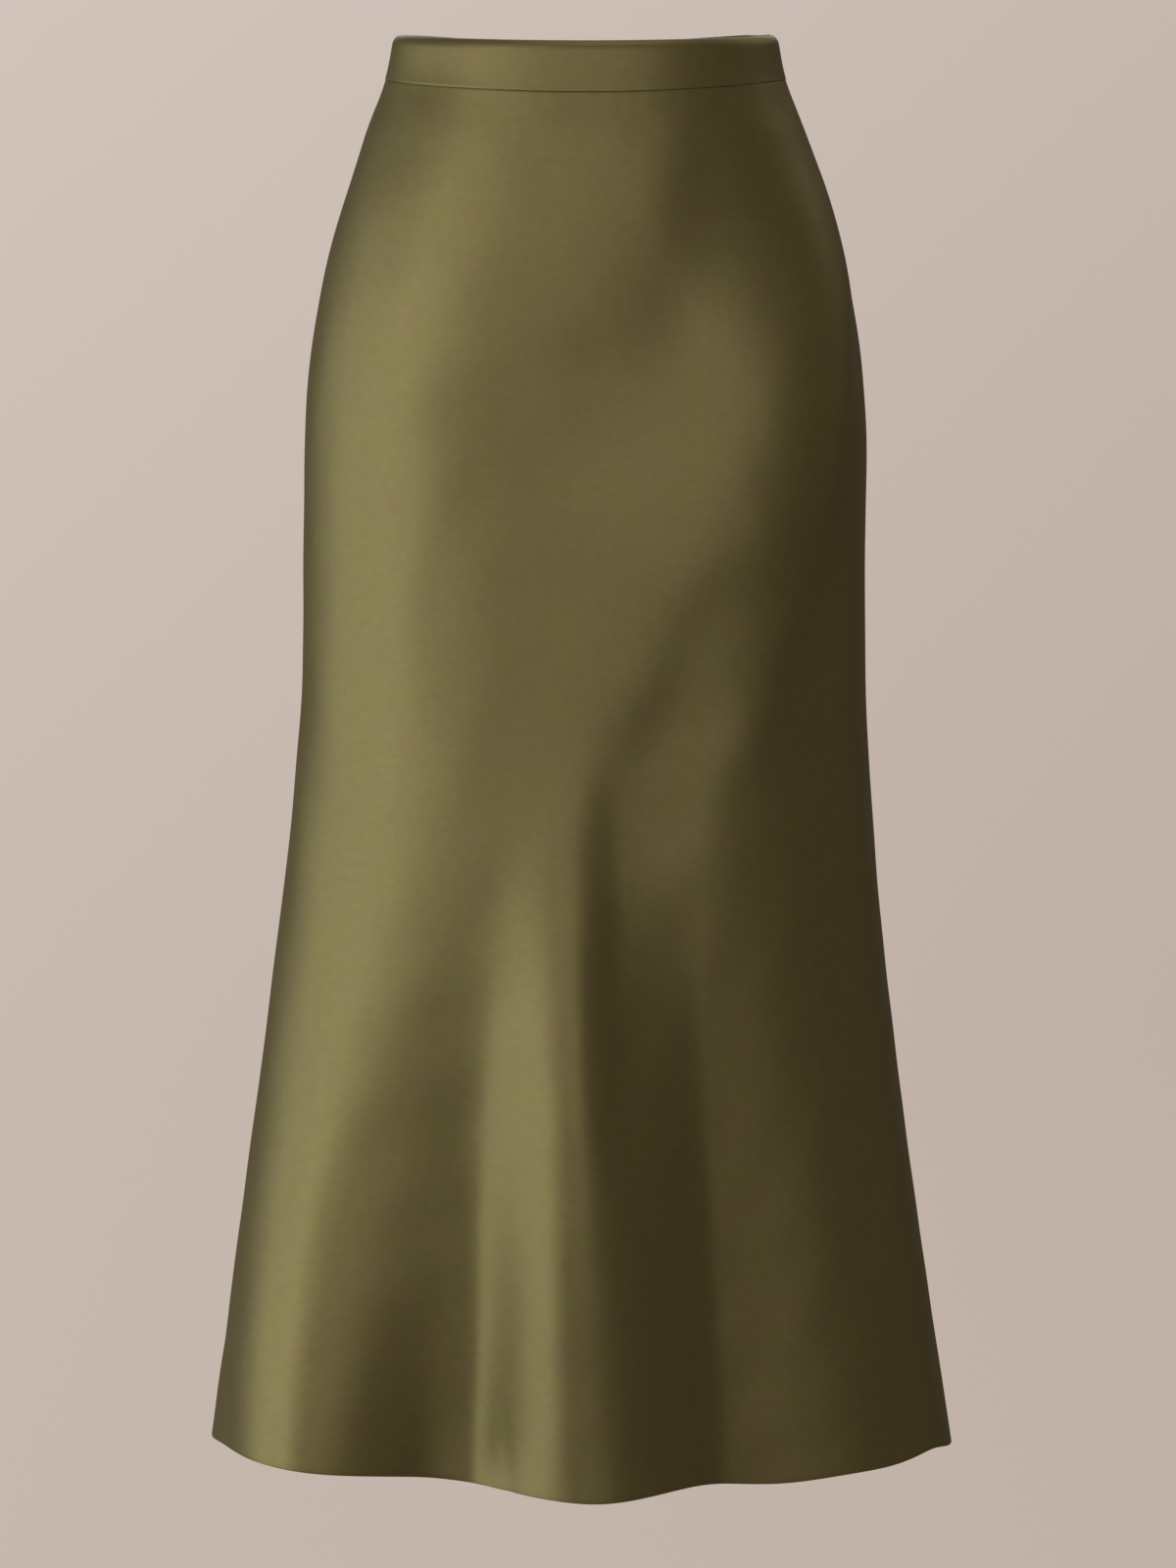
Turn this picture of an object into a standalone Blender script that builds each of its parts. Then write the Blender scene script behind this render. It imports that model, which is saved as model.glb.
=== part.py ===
"""Satin midi skirt with a flat waistband and a concealed side zip, filled out as it hangs in wear.

Metres, +Z up. The front faces -Y and the wearer's left is +X. The origin is the middle of the ring that
the waistband makes, halfway up the band, where the wearer's waist holds the skirt.

"Drop" is the distance below the top edge, "across" the distance along the cloth from the middle of the
front or of the back, positive towards the wearer's left.
"""

import math
from collections import namedtuple

import bmesh
import bpy
from mathutils import Matrix, Vector

# ---- Driving sizes -----------------------------------------------------------------------------------
SKIRT_LENGTH = 0.894  # top edge to hem, at the side
BAND_HEIGHT = 0.028  # waistband, at the side
TOP_LEVEL = BAND_HEIGHT / 2
FRONT_TOP_DIP = 0.003  # how far the top edge sinks at the middle of the front
FRONT_SEAM_DIP = 0.007  # and the seam under the waistband
BACK_DIP = 0.005  # both, at the middle of the back

PANEL_WALL = 0.0012
BAND_WALL = 0.0026  # doubled satin with its stiffener
BAND_PROUD = 0.0004  # the band's outer face stands this far outside the panel's
BAND_ROUNDING = 0.0009
SEAM_GAP = 0.0003  # between neighbouring pieces
ZIP_OPENING = 0.0024  # between the band's ends, where the slider's neck comes through

# The zip lies inside the seam at the wearer's left. Places across it run along the cloth, from the
# front (minus) to the back (plus), and depths run inwards from the panels' outer face.
TAPE_COLUMNS = (-0.012, -0.006, -0.0012, 0.0012, 0.006, 0.012)  # edges, middles and the neck's slot
TAPE_BAND_DROPS = (0.003, 0.014, 0.0215, 0.0295)  # rows behind the waistband; the slot ends at the second
TAPE_PANEL_ROWS = (0.4, 1, 2, 3, 4, 5, 6)  # rows behind the panels, counted in the panels' own rows
TAPE_WALL = 0.0008
BAND_TO_TAPE = 0.0005  # a seam gap, and a little more for the band's flat facets
PIVOT_DROP = 0.010  # level of the pull tab's hinge
PIVOT_OUT = 0.00095  # the hinge line stands this far out of the band
SLIDER_SIZE = (0.0022, 0.0056, 0.0085)  # inwards, across, along
SLIDER_BELOW = 0.00175  # its middle is this far below the hinge
NECK_THICK = 0.0012  # the neck and the eye that the pull tab hangs from
NECK_TALL = 0.0030
EYE_RADIUS = 0.0020
EYE_HOLE = 0.00085
PULL_THICK = 0.0008
PULL_LENGTH = 0.0185  # below the hinge line
PULL_NECK_WIDTH = 0.0042
PULL_WIDTH = 0.0058
PULL_WINDOW = (0.0020, 0.0030)  # its width, and how far it reaches below the hinge line
PULL_CLEAR = 0.00035  # between the resting pull tab and the band's lower edge

# ---- The form: one row for each ring -----------------------------------------------------------------
# front and back are the ring's half depths, squareness its superellipse exponent (2 is an ellipse),
# seam_back how far the side seams lie behind the widest line, sway the ring's shift along X.
Ring = namedtuple("Ring", "drop half_width front back squareness seam_back sway")
RINGS = (
    Ring(0.000, 0.1196, 0.086, 0.092, 2.10, 0.024, 0.000),
    Ring(0.028, 0.1253, 0.091, 0.097, 2.10, 0.024, 0.000),
    Ring(0.064, 0.1383, 0.099, 0.106, 2.15, 0.024, 0.000),
    Ring(0.113, 0.1545, 0.107, 0.118, 2.20, 0.023, 0.000),
    Ring(0.162, 0.1667, 0.112, 0.127, 2.25, 0.022, 0.000),
    Ring(0.212, 0.1743, 0.114, 0.131, 2.30, 0.021, 0.000),
    Ring(0.261, 0.1770, 0.115, 0.131, 2.30, 0.020, 0.000),
    Ring(0.335, 0.1770, 0.117, 0.129, 2.30, 0.019, -0.001),
    Ring(0.410, 0.1782, 0.121, 0.130, 2.30, 0.018, -0.001),
    Ring(0.485, 0.1832, 0.126, 0.134, 2.25, 0.018, -0.002),
    Ring(0.585, 0.1932, 0.133, 0.142, 2.20, 0.018, -0.003),
    Ring(0.686, 0.2058, 0.139, 0.151, 2.20, 0.018, -0.003),
    Ring(0.786, 0.2204, 0.145, 0.161, 2.20, 0.018, -0.003),
    Ring(0.910, 0.2391, 0.151, 0.172, 2.20, 0.018, -0.003),
)

# ---- The folds: one row for each soft ridge (plus) or trough (minus) ---------------------------------
# A fold runs from drop "start" to drop "end" along a line through three across places. Its height is
# "end_height" growing from nothing at the start, and "belly" in the middle, nothing at either end.
# half_right and half_left are its half widths on the sides towards the wearer's right and left, and
# "slim" is the share of them that it has at its start.
Fold = namedtuple(
    "Fold", "start end across_start across_mid across_end half_right half_left slim belly end_height"
)
HEM = 0.91
FRONT_FOLDS = (
    # the drape that runs from the wearer's left hip down into the main ridge
    Fold(0.010, 0.500, 0.200, 0.152, 0.086, 0.072, 0.025, 1.0, 0.0110, 0.0),
    # the shallow trough above it
    Fold(0.005, 0.330, 0.106, 0.068, 0.000, 0.060, 0.064, 1.0, -0.0094, 0.0),
    # the trough below it, down to the main ridge's foot
    Fold(0.295, 0.555, 0.114, 0.057, 0.031, 0.029, 0.035, 1.0, -0.0045, 0.0),
    # the main ridge at the middle of the front
    Fold(0.405, HEM, -0.006, -0.006, 0.003, 0.050, 0.050, 0.6, 0.0105, 0.018),
    # the deep trough on its wearer's right, and the broad shoulder beyond
    Fold(0.480, HEM, -0.056, -0.066, -0.076, 0.056, 0.040, 0.8, 0.0000, -0.027),
    Fold(0.410, HEM, -0.186, -0.182, -0.172, 0.060, 0.052, 1.05, -0.0060, 0.037),
    # the low trough on its wearer's left, and the crease between them
    Fold(0.405, HEM, 0.062, 0.084, 0.100, 0.040, 0.096, 0.7, -0.0045, -0.022),
    Fold(0.380, 0.760, 0.022, 0.026, 0.036, 0.021, 0.038, 1.0, -0.0068, 0.0),
)
BACK_FOLDS = (
    Fold(0.400, HEM, -0.130, -0.150, -0.185, 0.034, 0.030, 0.6, 0.0000, 0.020),
    Fold(0.480, HEM, -0.080, -0.095, -0.112, 0.030, 0.030, 0.7, 0.0000, -0.016),
    Fold(0.340, HEM, -0.040, -0.035, -0.028, 0.044, 0.040, 0.5, 0.0030, 0.032),
    Fold(0.450, HEM, 0.020, 0.034, 0.048, 0.028, 0.028, 0.7, 0.0000, -0.014),
    Fold(0.380, HEM, 0.070, 0.092, 0.118, 0.038, 0.036, 0.5, 0.0020, 0.026),
    Fold(0.520, HEM, 0.130, 0.160, 0.190, 0.028, 0.026, 0.8, 0.0000, -0.012),
    Fold(0.120, 0.460, -0.150, -0.080, -0.010, 0.034, 0.034, 1.0, 0.0030, 0.0),
)

# Where the hem hangs lower (plus) or higher (minus) than its level
Hang = namedtuple("Hang", "across half_width amount")
FRONT_HANGS = (
    Hang(-0.215, 0.085, -0.0125),
    Hang(-0.330, 0.050, -0.0025),
    Hang(-0.062, 0.040, 0.0035),
    Hang(0.012, 0.050, 0.0070),
    Hang(0.130, 0.050, 0.0055),
    Hang(0.255, 0.030, -0.0050),
)
BACK_HANGS = (Hang(-0.310, 0.060, -0.0044), Hang(-0.112, 0.035, 0.003), Hang(0.048, 0.030, 0.003))

# How near a side seam the folds die out
FOLD_FADE = 0.045

PANEL_COLUMNS = 44
PANEL_ROWS = 28
BAND_COLUMNS = 40
BAND_ROWS = 2
ARC_STEPS = 160  # samples of a ring when its length is measured

Side = namedtuple("Side", "name is_front folds hangs top_dip seam_dip")
FRONT = Side("front", True, FRONT_FOLDS, FRONT_HANGS, FRONT_TOP_DIP, FRONT_SEAM_DIP)
BACK = Side("back", False, BACK_FOLDS, BACK_HANGS, BACK_DIP, BACK_DIP)


# ---- Form functions ----------------------------------------------------------------------------------
def ring_at(drop):
    """The ring's sizes at a drop, on smooth curves through the rows of RINGS."""
    last = len(RINGS) - 2
    row = 0
    while row < last and RINGS[row + 1].drop < drop:
        row += 1
    low, high = RINGS[row], RINGS[row + 1]
    before, after = RINGS[max(row - 1, 0)], RINGS[min(row + 2, last + 1)]
    span = high.drop - low.drop
    part = (drop - low.drop) / span
    values = []
    for p0, p1, p2, p3 in zip(before, low, high, after):
        slope_low = (p2 - p0) / (high.drop - before.drop) * span
        slope_high = (p3 - p1) / (after.drop - low.drop) * span
        bend = 2 * (p1 - p2) + slope_low + slope_high
        lean = 3 * (p2 - p1) - 2 * slope_low - slope_high
        values.append(((bend * part + lean) * part + slope_low) * part + p1)
    return Ring(*values)


def signed_power(value, exponent):
    return math.copysign(abs(value) ** exponent, value)


def ring_point(ring, angle):
    """The point at an angle from the middle of the front, positive towards the wearer's left."""
    turn = 2 / ring.squareness
    depth = ring.front if math.cos(angle) > 0 else ring.back
    x = ring.sway + ring.half_width * signed_power(math.sin(angle), turn)
    y = -depth * signed_power(math.cos(angle), turn)
    return x, y


def ring_outward(ring, x, y):
    """The level direction straight out of the ring at one of its points."""
    depth = ring.front if y < 0 else ring.back
    power = ring.squareness - 1
    out_x = signed_power((x - ring.sway) / ring.half_width, power) / ring.half_width
    out_y = signed_power(y / depth, power) / depth
    return Vector((out_x, out_y, 0.0)).normalized()


def seam_angle(ring):
    """The angle of a side seam, a little behind the widest line."""
    return math.pi / 2 + math.asin((ring.seam_back / ring.back) ** (ring.squareness / 2))


def spread(side, ring, share):
    """The ring's point at a share, 0 to 1, of the panel's width, its across place and the width.

    The share runs from the wearer's right to the left on the front and back again on the back, so
    that a panel's outer face always turns outwards."""
    edge = seam_angle(ring)
    first, last = (-edge, edge) if side.is_front else (edge, 2 * math.pi - edge)
    points = []
    for step in range(ARC_STEPS + 1):
        points.append(ring_point(ring, first + (last - first) * step / ARC_STEPS))
    runs = [0.0]
    for here, there in zip(points, points[1:]):
        runs.append(runs[-1] + math.dist(here, there))
    wanted = min(max(share, 0.0), 1.0) * runs[-1]
    step = 0
    while step < ARC_STEPS - 1 and runs[step + 1] < wanted:
        step += 1
    part = (wanted - runs[step]) / (runs[step + 1] - runs[step])
    angle = first + (last - first) * (step + part) / ARC_STEPS
    from_middle = (share - 0.5) * runs[-1]
    across = from_middle if side.is_front else -from_middle
    return ring_point(ring, angle), across, runs[-1]


def smooth_step(value):
    value = min(max(value, 0.0), 1.0)
    return value * value * (3 - 2 * value)


def fold_height(fold, across, drop):
    """How far a fold lifts the cloth at one place."""
    part = (drop - fold.start) / (fold.end - fold.start)
    if part <= 0 or (part > 1 and fold.end_height == 0):
        return 0.0
    part = min(part, 1.0)
    bow = 4 * part * (1 - part)
    straight = fold.across_start + (fold.across_end - fold.across_start) * part
    bulge = fold.across_mid - (fold.across_start + fold.across_end) / 2
    line = straight + bulge * bow
    lean = (fold.across_end - fold.across_start) + bulge * 4 * (1 - 2 * part)
    square_on = math.cos(math.atan2(lean, fold.end - fold.start))
    away = (across - line) * square_on
    half = fold.half_left if away > 0 else fold.half_right
    half *= fold.slim + (1 - fold.slim) * part
    height = fold.end_height * smooth_step(part) + fold.belly * math.sin(math.pi * part) ** 2
    return height * math.exp(-((away / half) ** 2))


def relief(side, across, drop, width):
    """The folds' height at one place, fading out at the side seams."""
    height = sum(fold_height(fold, across, drop) for fold in side.folds)
    to_seam = width / 2 - abs(across)
    return height * smooth_step(to_seam / FOLD_FADE)


def dip(depth, share):
    """How far an edge has sunk at a share of the panel's width, deepest in the middle."""
    return depth * math.sin(math.pi * share) ** 2


def seam_drop(side, share):
    """The drop of the seam between waistband and panel."""
    return BAND_HEIGHT + dip(side.seam_dip, share)


def cloth_point(side, share, drop, out=0.0):
    """A point of the skirt's outer face, or that far out of it, level."""
    ring = ring_at(drop)
    (x, y), across, width = spread(side, ring, share)
    lift = relief(side, across, drop, width) + out
    return Vector((x, y, TOP_LEVEL - drop)) + ring_outward(ring, x, y) * lift


def hem_drop(side, share):
    """The drop of the hem at a share of the panel's width."""
    width = spread(side, ring_at(SKIRT_LENGTH), share)[2]
    across = (share - 0.5) * width
    if not side.is_front:
        across = -across
    lower = 0.0
    for hang in side.hangs:
        lower += hang.amount * math.exp(-(((across - hang.across) / hang.half_width) ** 2))
    return SKIRT_LENGTH + lower


def inset_share(side, share, drop, right, left):
    """A share of the width that stops short of each end by a real distance."""
    start, end = (right, left) if side.is_front else (left, right)
    width = spread(side, ring_at(drop), 0.5)[2]
    return (start + share * (width - start - end)) / width


def panel_drop(side, share, row):
    """The drop of a panel's row, counted from the waist seam down."""
    top = seam_drop(side, share) + SEAM_GAP / 2
    return top + (hem_drop(side, share) - top) * row / PANEL_ROWS


def left_seam_point(along, drop, out=0.0):
    """A point of the outer face beside the wearer's left seam, along the cloth from it."""
    side = BACK if along > 0 else FRONT
    width = spread(side, ring_at(drop), 0.5)[2]
    share = along / width if along > 0 else 1 + along / width
    return cloth_point(side, share, drop, out)


def left_seam_frame(along, drop):
    """Outward, backward and upward directions there, at right angles to each other."""
    step = 0.002
    outward_level = ring_outward(ring_at(drop), *left_seam_point(along, drop).xy)
    up = (left_seam_point(along, drop - step) - left_seam_point(along, drop + step)).normalized()
    backward = Vector((-outward_level.y, outward_level.x, 0.0))
    outward = backward.cross(up).normalized()
    return outward, up.cross(outward), up


def behind(along, drop, depth):
    """A point that far in from the panels' outer face, square to the cloth."""
    return left_seam_point(along, drop) - left_seam_frame(along, drop)[0] * depth


# ---- Blender helpers ---------------------------------------------------------------------------------
def clear_scene():
    for thing in list(bpy.data.objects):
        bpy.data.objects.remove(thing)


def new_collection(name):
    collection = bpy.data.collections.new(name)
    bpy.context.scene.collection.children.link(collection)
    return collection


def new_object(name, mesh, collection):
    thing = bpy.data.objects.new(name, mesh)
    collection.objects.link(thing)
    return thing


def srgb_to_linear(value):
    return value / 12.92 if value <= 0.04045 else ((value + 0.055) / 1.055) ** 2.4


def give_material(thing, hex_colour, roughness, metallic=0.0):
    """The piece's own Principled material."""
    channels = [int(hex_colour[start : start + 2], 16) / 255 for start in (0, 2, 4)]
    material = bpy.data.materials.new(thing.name)
    material.use_nodes = True
    shader = material.node_tree.nodes["Principled BSDF"]
    shader.inputs["Base Color"].default_value = (*map(srgb_to_linear, channels), 1.0)
    shader.inputs["Roughness"].default_value = roughness
    shader.inputs["Metallic"].default_value = metallic
    thing.data.materials.append(material)


def shade_smooth(mesh, sharp_degrees):
    mesh.shade_smooth()
    mesh.set_sharp_from_angle(angle=math.radians(sharp_degrees))


def sheet_object(name, columns, rows, place, collection):
    """An open sheet: a grid whose point at shares (s, rise), both 0 to 1, lies at place(s, rise)."""
    mesh = bpy.data.meshes.new(name)
    grid = bmesh.new()
    bmesh.ops.create_grid(grid, x_segments=columns, y_segments=rows, size=0.5)
    for vertex in grid.verts:
        vertex.co = place(vertex.co.x + 0.5, vertex.co.y + 0.5)
    grid.to_mesh(mesh)
    grid.free()
    return new_object(name, mesh, collection)


def add_wall(thing, thickness):
    """Gives an open sheet its thickness, inwards from its outer face."""
    wall = thing.modifiers.new("wall", "SOLIDIFY")
    wall.thickness = thickness
    wall.offset = -1.0
    wall.use_even_offset = True


def add_rounding(thing, width, segments):
    rounding = thing.modifiers.new("rounding", "BEVEL")
    rounding.width = width
    rounding.segments = segments
    rounding.limit_method = "ANGLE"
    rounding.angle_limit = math.radians(60)


def placed(thing, place):
    """Moves a new primitive to a placing matrix."""
    thing.matrix_world = place @ thing.matrix_basis
    return thing


def take(name, collection):
    """Names the primitive just added and moves it to a collection."""
    thing = bpy.context.object
    thing.name = name
    thing.data.name = name
    for old in list(thing.users_collection):
        old.objects.unlink(thing)
    collection.objects.link(thing)
    return thing


def add_block(name, size, centre, collection, place):
    bpy.ops.mesh.primitive_cube_add(size=1, location=centre)
    block = take(name, collection)
    for vertex in block.data.vertices:
        vertex.co = Vector(size) * Vector(vertex.co)
    return placed(block, place)


def add_pin(name, radius, length, centre, collection, place):
    """A cylinder whose axis runs across the zip."""
    turn = (math.pi / 2, 0.0, 0.0)
    bpy.ops.mesh.primitive_cylinder_add(
        vertices=28, radius=radius, depth=length, location=centre, rotation=turn
    )
    return placed(take(name, collection), place)


def use_tool(thing, tool, operation):
    """Joins a tool to a piece, or cuts it away."""
    join = thing.modifiers.new(tool.name, "BOOLEAN")
    join.operation = operation
    join.object = tool
    tool.hide_render = True
    tool.display_type = "WIRE"


# ---- Pieces ------------------------------------------------------------------------------------------
def make_panel(side, collection):
    """One skirt panel, from the waist seam to the hem and from side seam to side seam."""
    half_gap = SEAM_GAP / 2

    def place(share, rise):
        drop = panel_drop(side, share, (1 - rise) * PANEL_ROWS)
        return cloth_point(side, inset_share(side, share, drop, half_gap, half_gap), drop)

    panel = sheet_object(side.name + "_panel", PANEL_COLUMNS, PANEL_ROWS, place, collection)
    add_wall(panel, PANEL_WALL)
    shade_smooth(panel.data, 50)
    give_material(panel, "6a5f3f", 0.42)


def make_waistband(side, collection):
    """One half of the waistband. The halves meet at the wearer's right and part for the zip."""
    closed_end = SEAM_GAP / 2
    zip_end = ZIP_OPENING / 2

    def place(share, rise):
        bottom = seam_drop(side, share) - SEAM_GAP / 2
        drop = bottom + (dip(side.top_dip, share) - bottom) * rise
        share_inside = inset_share(side, share, drop, closed_end, zip_end)
        return cloth_point(side, share_inside, drop, BAND_PROUD)

    band = sheet_object("waistband_" + side.name, BAND_COLUMNS, BAND_ROWS, place, collection)
    add_wall(band, BAND_WALL)
    add_rounding(band, BAND_ROUNDING, 2)
    shade_smooth(band.data, 50)
    give_material(band, "6f6443", 0.42)


def make_zip_tape(collection):
    """The zip's tapes as one slotted strip, behind the seam at the wearer's left."""
    behind_band = BAND_WALL - BAND_PROUD + BAND_TO_TAPE
    behind_panel = PANEL_WALL + SEAM_GAP + BAND_TO_TAPE / 2
    rows = [(drop, behind_band) for drop in TAPE_BAND_DROPS]
    rows += [(panel_drop(FRONT, 1, row), behind_panel) for row in TAPE_PANEL_ROWS]
    columns = len(TAPE_COLUMNS) - 1

    def place(share, rise):
        drop, depth = rows[round((1 - rise) * (len(rows) - 1))]
        return behind(TAPE_COLUMNS[round(share * columns)], drop, depth)

    tape = sheet_object("zip_tape", columns, len(rows) - 1, place, collection)
    form = bmesh.new()
    form.from_mesh(tape.data)
    slot = behind(0.0, (TAPE_BAND_DROPS[0] + TAPE_BAND_DROPS[1]) / 2, behind_band)
    slot_face = min(form.faces, key=lambda face: (face.calc_center_median() - slot).length)
    bmesh.ops.delete(form, geom=[slot_face], context="FACES")
    form.to_mesh(tape.data)
    form.free()
    add_wall(tape, TAPE_WALL)
    give_material(tape, "5c5238", 0.8)


def zip_place(drop):
    """The frame of the slider: its origin on the hinge line, X outwards, Y backwards, Z up the cloth."""
    outward, backward, up = left_seam_frame(0.0, drop)
    origin = left_seam_point(0.0, drop) + outward * (BAND_PROUD + PIVOT_OUT)
    place = Matrix((outward, backward, up)).transposed().to_4x4()
    place.translation = origin
    return place


def make_zip_slider(collection, tools):
    """The slider inside the tape, with its neck and eye coming out between the band's ends."""
    place = zip_place(PIVOT_DROP)
    tape_inner = BAND_WALL - BAND_PROUD + BAND_TO_TAPE + TAPE_WALL
    face = -(BAND_PROUD + PIVOT_OUT + tape_inner + SEAM_GAP)
    centre = (face - SLIDER_SIZE[0] / 2, 0.0, -SLIDER_BELOW)
    slider = add_block("zip_slider", SLIDER_SIZE, centre, collection, place)
    add_rounding(slider, 0.0005, 2)
    neck_length = -face + SLIDER_SIZE[0] / 2
    neck_size = (neck_length, NECK_THICK, NECK_TALL)
    neck = add_block("neck_tool", neck_size, (-neck_length / 2, 0.0, 0.0), tools, place)
    eye = add_pin("eye_tool", EYE_RADIUS, NECK_THICK, (0.0, 0.0, 0.0), tools, place)
    hole = add_pin("hole_tool", EYE_HOLE, NECK_THICK * 3, (0.0, 0.0, 0.0), tools, place)
    use_tool(slider, neck, "UNION")
    use_tool(slider, eye, "UNION")
    use_tool(slider, hole, "DIFFERENCE")
    give_material(slider, "5e553b", 0.38, 0.4)


def closed_curve(outline, points):
    """Adds one closed outline to a flat curve."""
    spline = outline.splines.new("POLY")
    spline.points.add(len(points) - 1)
    for point, (x, y) in zip(spline.points, points):
        point.co = (x, y, 0.0, 1.0)
    spline.use_cyclic_u = True


def arc(centre_x, centre_y, radius, first_degrees, last_degrees, steps):
    points = []
    for step in range(steps + 1):
        angle = math.radians(first_degrees + (last_degrees - first_degrees) * step / steps)
        points.append((centre_x + radius * math.cos(angle), centre_y + radius * math.sin(angle)))
    return points


def make_zip_pull(collection):
    """The pull tab, a drop-shaped plate whose upper bar runs through the slider's eye."""
    half_bar = PULL_THICK / 2
    shoulder = 0.0010
    tip = PULL_WIDTH / 2
    half_neck = PULL_NECK_WIDTH / 2
    edge = arc(0.0, -PULL_LENGTH + tip, tip, 180, 360, 14)
    edge += arc(half_neck - shoulder, half_bar - shoulder, shoulder, 0, 90, 4)
    edge += arc(-half_neck + shoulder, half_bar - shoulder, shoulder, 90, 180, 4)
    window_half = PULL_WINDOW[0] / 2
    corner = 0.0006
    window = arc(-window_half + corner, -PULL_WINDOW[1] + corner, corner, 180, 270, 3)
    window += arc(window_half - corner, -PULL_WINDOW[1] + corner, corner, 270, 360, 3)
    window += [(window_half, -half_bar), (-window_half, -half_bar)]
    outline = bpy.data.curves.new("zip_pull", "CURVE")
    outline.dimensions = "2D"
    outline.fill_mode = "BOTH"
    outline.extrude = PULL_THICK / 2
    closed_curve(outline, edge)
    closed_curve(outline, window)
    pull = new_object("zip_pull", outline, collection)

    place = zip_place(PIVOT_DROP)
    hinge = place.translation
    backward = place.col[1].to_3d()
    low = BAND_HEIGHT - 0.001
    rest_out = BAND_PROUD + PULL_CLEAR + PULL_THICK / 2
    lower = left_seam_point(0.0, low) + left_seam_frame(0.0, low)[0] * rest_out
    up = (hinge - lower).normalized()
    outward = backward.cross(up).normalized()
    pull.matrix_world = Matrix((up.cross(outward), up, outward)).transposed().to_4x4()
    pull.location = hinge
    give_material(pull, "6a6042", 0.34, 0.4)


def main():
    clear_scene()
    skirt = new_collection("satin_midi_skirt")
    tools = new_collection("cutters")
    for side in (FRONT, BACK):
        make_panel(side, skirt)
        make_waistband(side, skirt)
    make_zip_tape(skirt)
    make_zip_slider(skirt, tools)
    make_zip_pull(skirt)


main()
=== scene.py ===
"""Looks of the satin midi skirt: thin shells of cloth, the concealed zip, light, floor and camera.

Metres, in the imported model's own frame: +Z up, the front faces -Y and the wearer's left is +X.
"Drop" is the distance below the top edge, "across" the distance along the cloth from the middle of
the front or of the back, positive towards the wearer's left, and "depth" how far in from the outer
face a point lies.
"""

import math
from collections import namedtuple

import bmesh
import bpy
import numpy as np
from mathutils import Matrix, Vector


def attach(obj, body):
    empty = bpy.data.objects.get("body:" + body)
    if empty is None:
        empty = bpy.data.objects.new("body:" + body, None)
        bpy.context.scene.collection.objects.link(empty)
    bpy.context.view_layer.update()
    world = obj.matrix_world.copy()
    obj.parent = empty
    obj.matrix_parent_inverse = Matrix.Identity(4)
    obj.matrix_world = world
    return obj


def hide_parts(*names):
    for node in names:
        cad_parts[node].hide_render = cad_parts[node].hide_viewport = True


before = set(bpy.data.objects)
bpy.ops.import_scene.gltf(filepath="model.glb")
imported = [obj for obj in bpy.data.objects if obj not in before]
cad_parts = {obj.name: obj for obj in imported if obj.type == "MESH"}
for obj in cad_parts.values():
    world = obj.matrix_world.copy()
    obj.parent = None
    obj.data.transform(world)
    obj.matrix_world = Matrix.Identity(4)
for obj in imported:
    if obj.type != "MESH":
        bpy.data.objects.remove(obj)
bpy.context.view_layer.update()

MM = 0.001

# ---- The form, as the solids have it ----
SKIRT_LENGTH = 0.894
BAND_HEIGHT = 0.028
TOP_LEVEL = BAND_HEIGHT / 2
FRONT_TOP_DIP = 0.003
FRONT_SEAM_DIP = 0.007
BACK_DIP = 0.005
BAND_WALL = 0.0026
BAND_PROUD = 0.0004

# front and back are the ring's half depths, squareness its superellipse exponent (2 is an ellipse),
# seam_back how far the side seams lie behind the widest line, sway the ring's shift along X.
Ring = namedtuple("Ring", "drop half_width front back squareness seam_back sway")
RINGS = (
    Ring(0.000, 0.1196, 0.086, 0.092, 2.10, 0.024, 0.000),
    Ring(0.028, 0.1253, 0.091, 0.097, 2.10, 0.024, 0.000),
    Ring(0.064, 0.1383, 0.099, 0.106, 2.15, 0.024, 0.000),
    Ring(0.113, 0.1545, 0.107, 0.118, 2.20, 0.023, 0.000),
    Ring(0.162, 0.1667, 0.112, 0.127, 2.25, 0.022, 0.000),
    Ring(0.212, 0.1743, 0.114, 0.131, 2.30, 0.021, 0.000),
    Ring(0.261, 0.1770, 0.115, 0.131, 2.30, 0.020, 0.000),
    Ring(0.335, 0.1770, 0.117, 0.129, 2.30, 0.019, -0.001),
    Ring(0.410, 0.1782, 0.121, 0.130, 2.30, 0.018, -0.001),
    Ring(0.485, 0.1832, 0.126, 0.134, 2.25, 0.018, -0.002),
    Ring(0.585, 0.1932, 0.133, 0.142, 2.20, 0.018, -0.003),
    Ring(0.686, 0.2058, 0.139, 0.151, 2.20, 0.018, -0.003),
    Ring(0.786, 0.2204, 0.145, 0.161, 2.20, 0.018, -0.003),
    Ring(0.910, 0.2391, 0.151, 0.172, 2.20, 0.018, -0.003),
)

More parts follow.
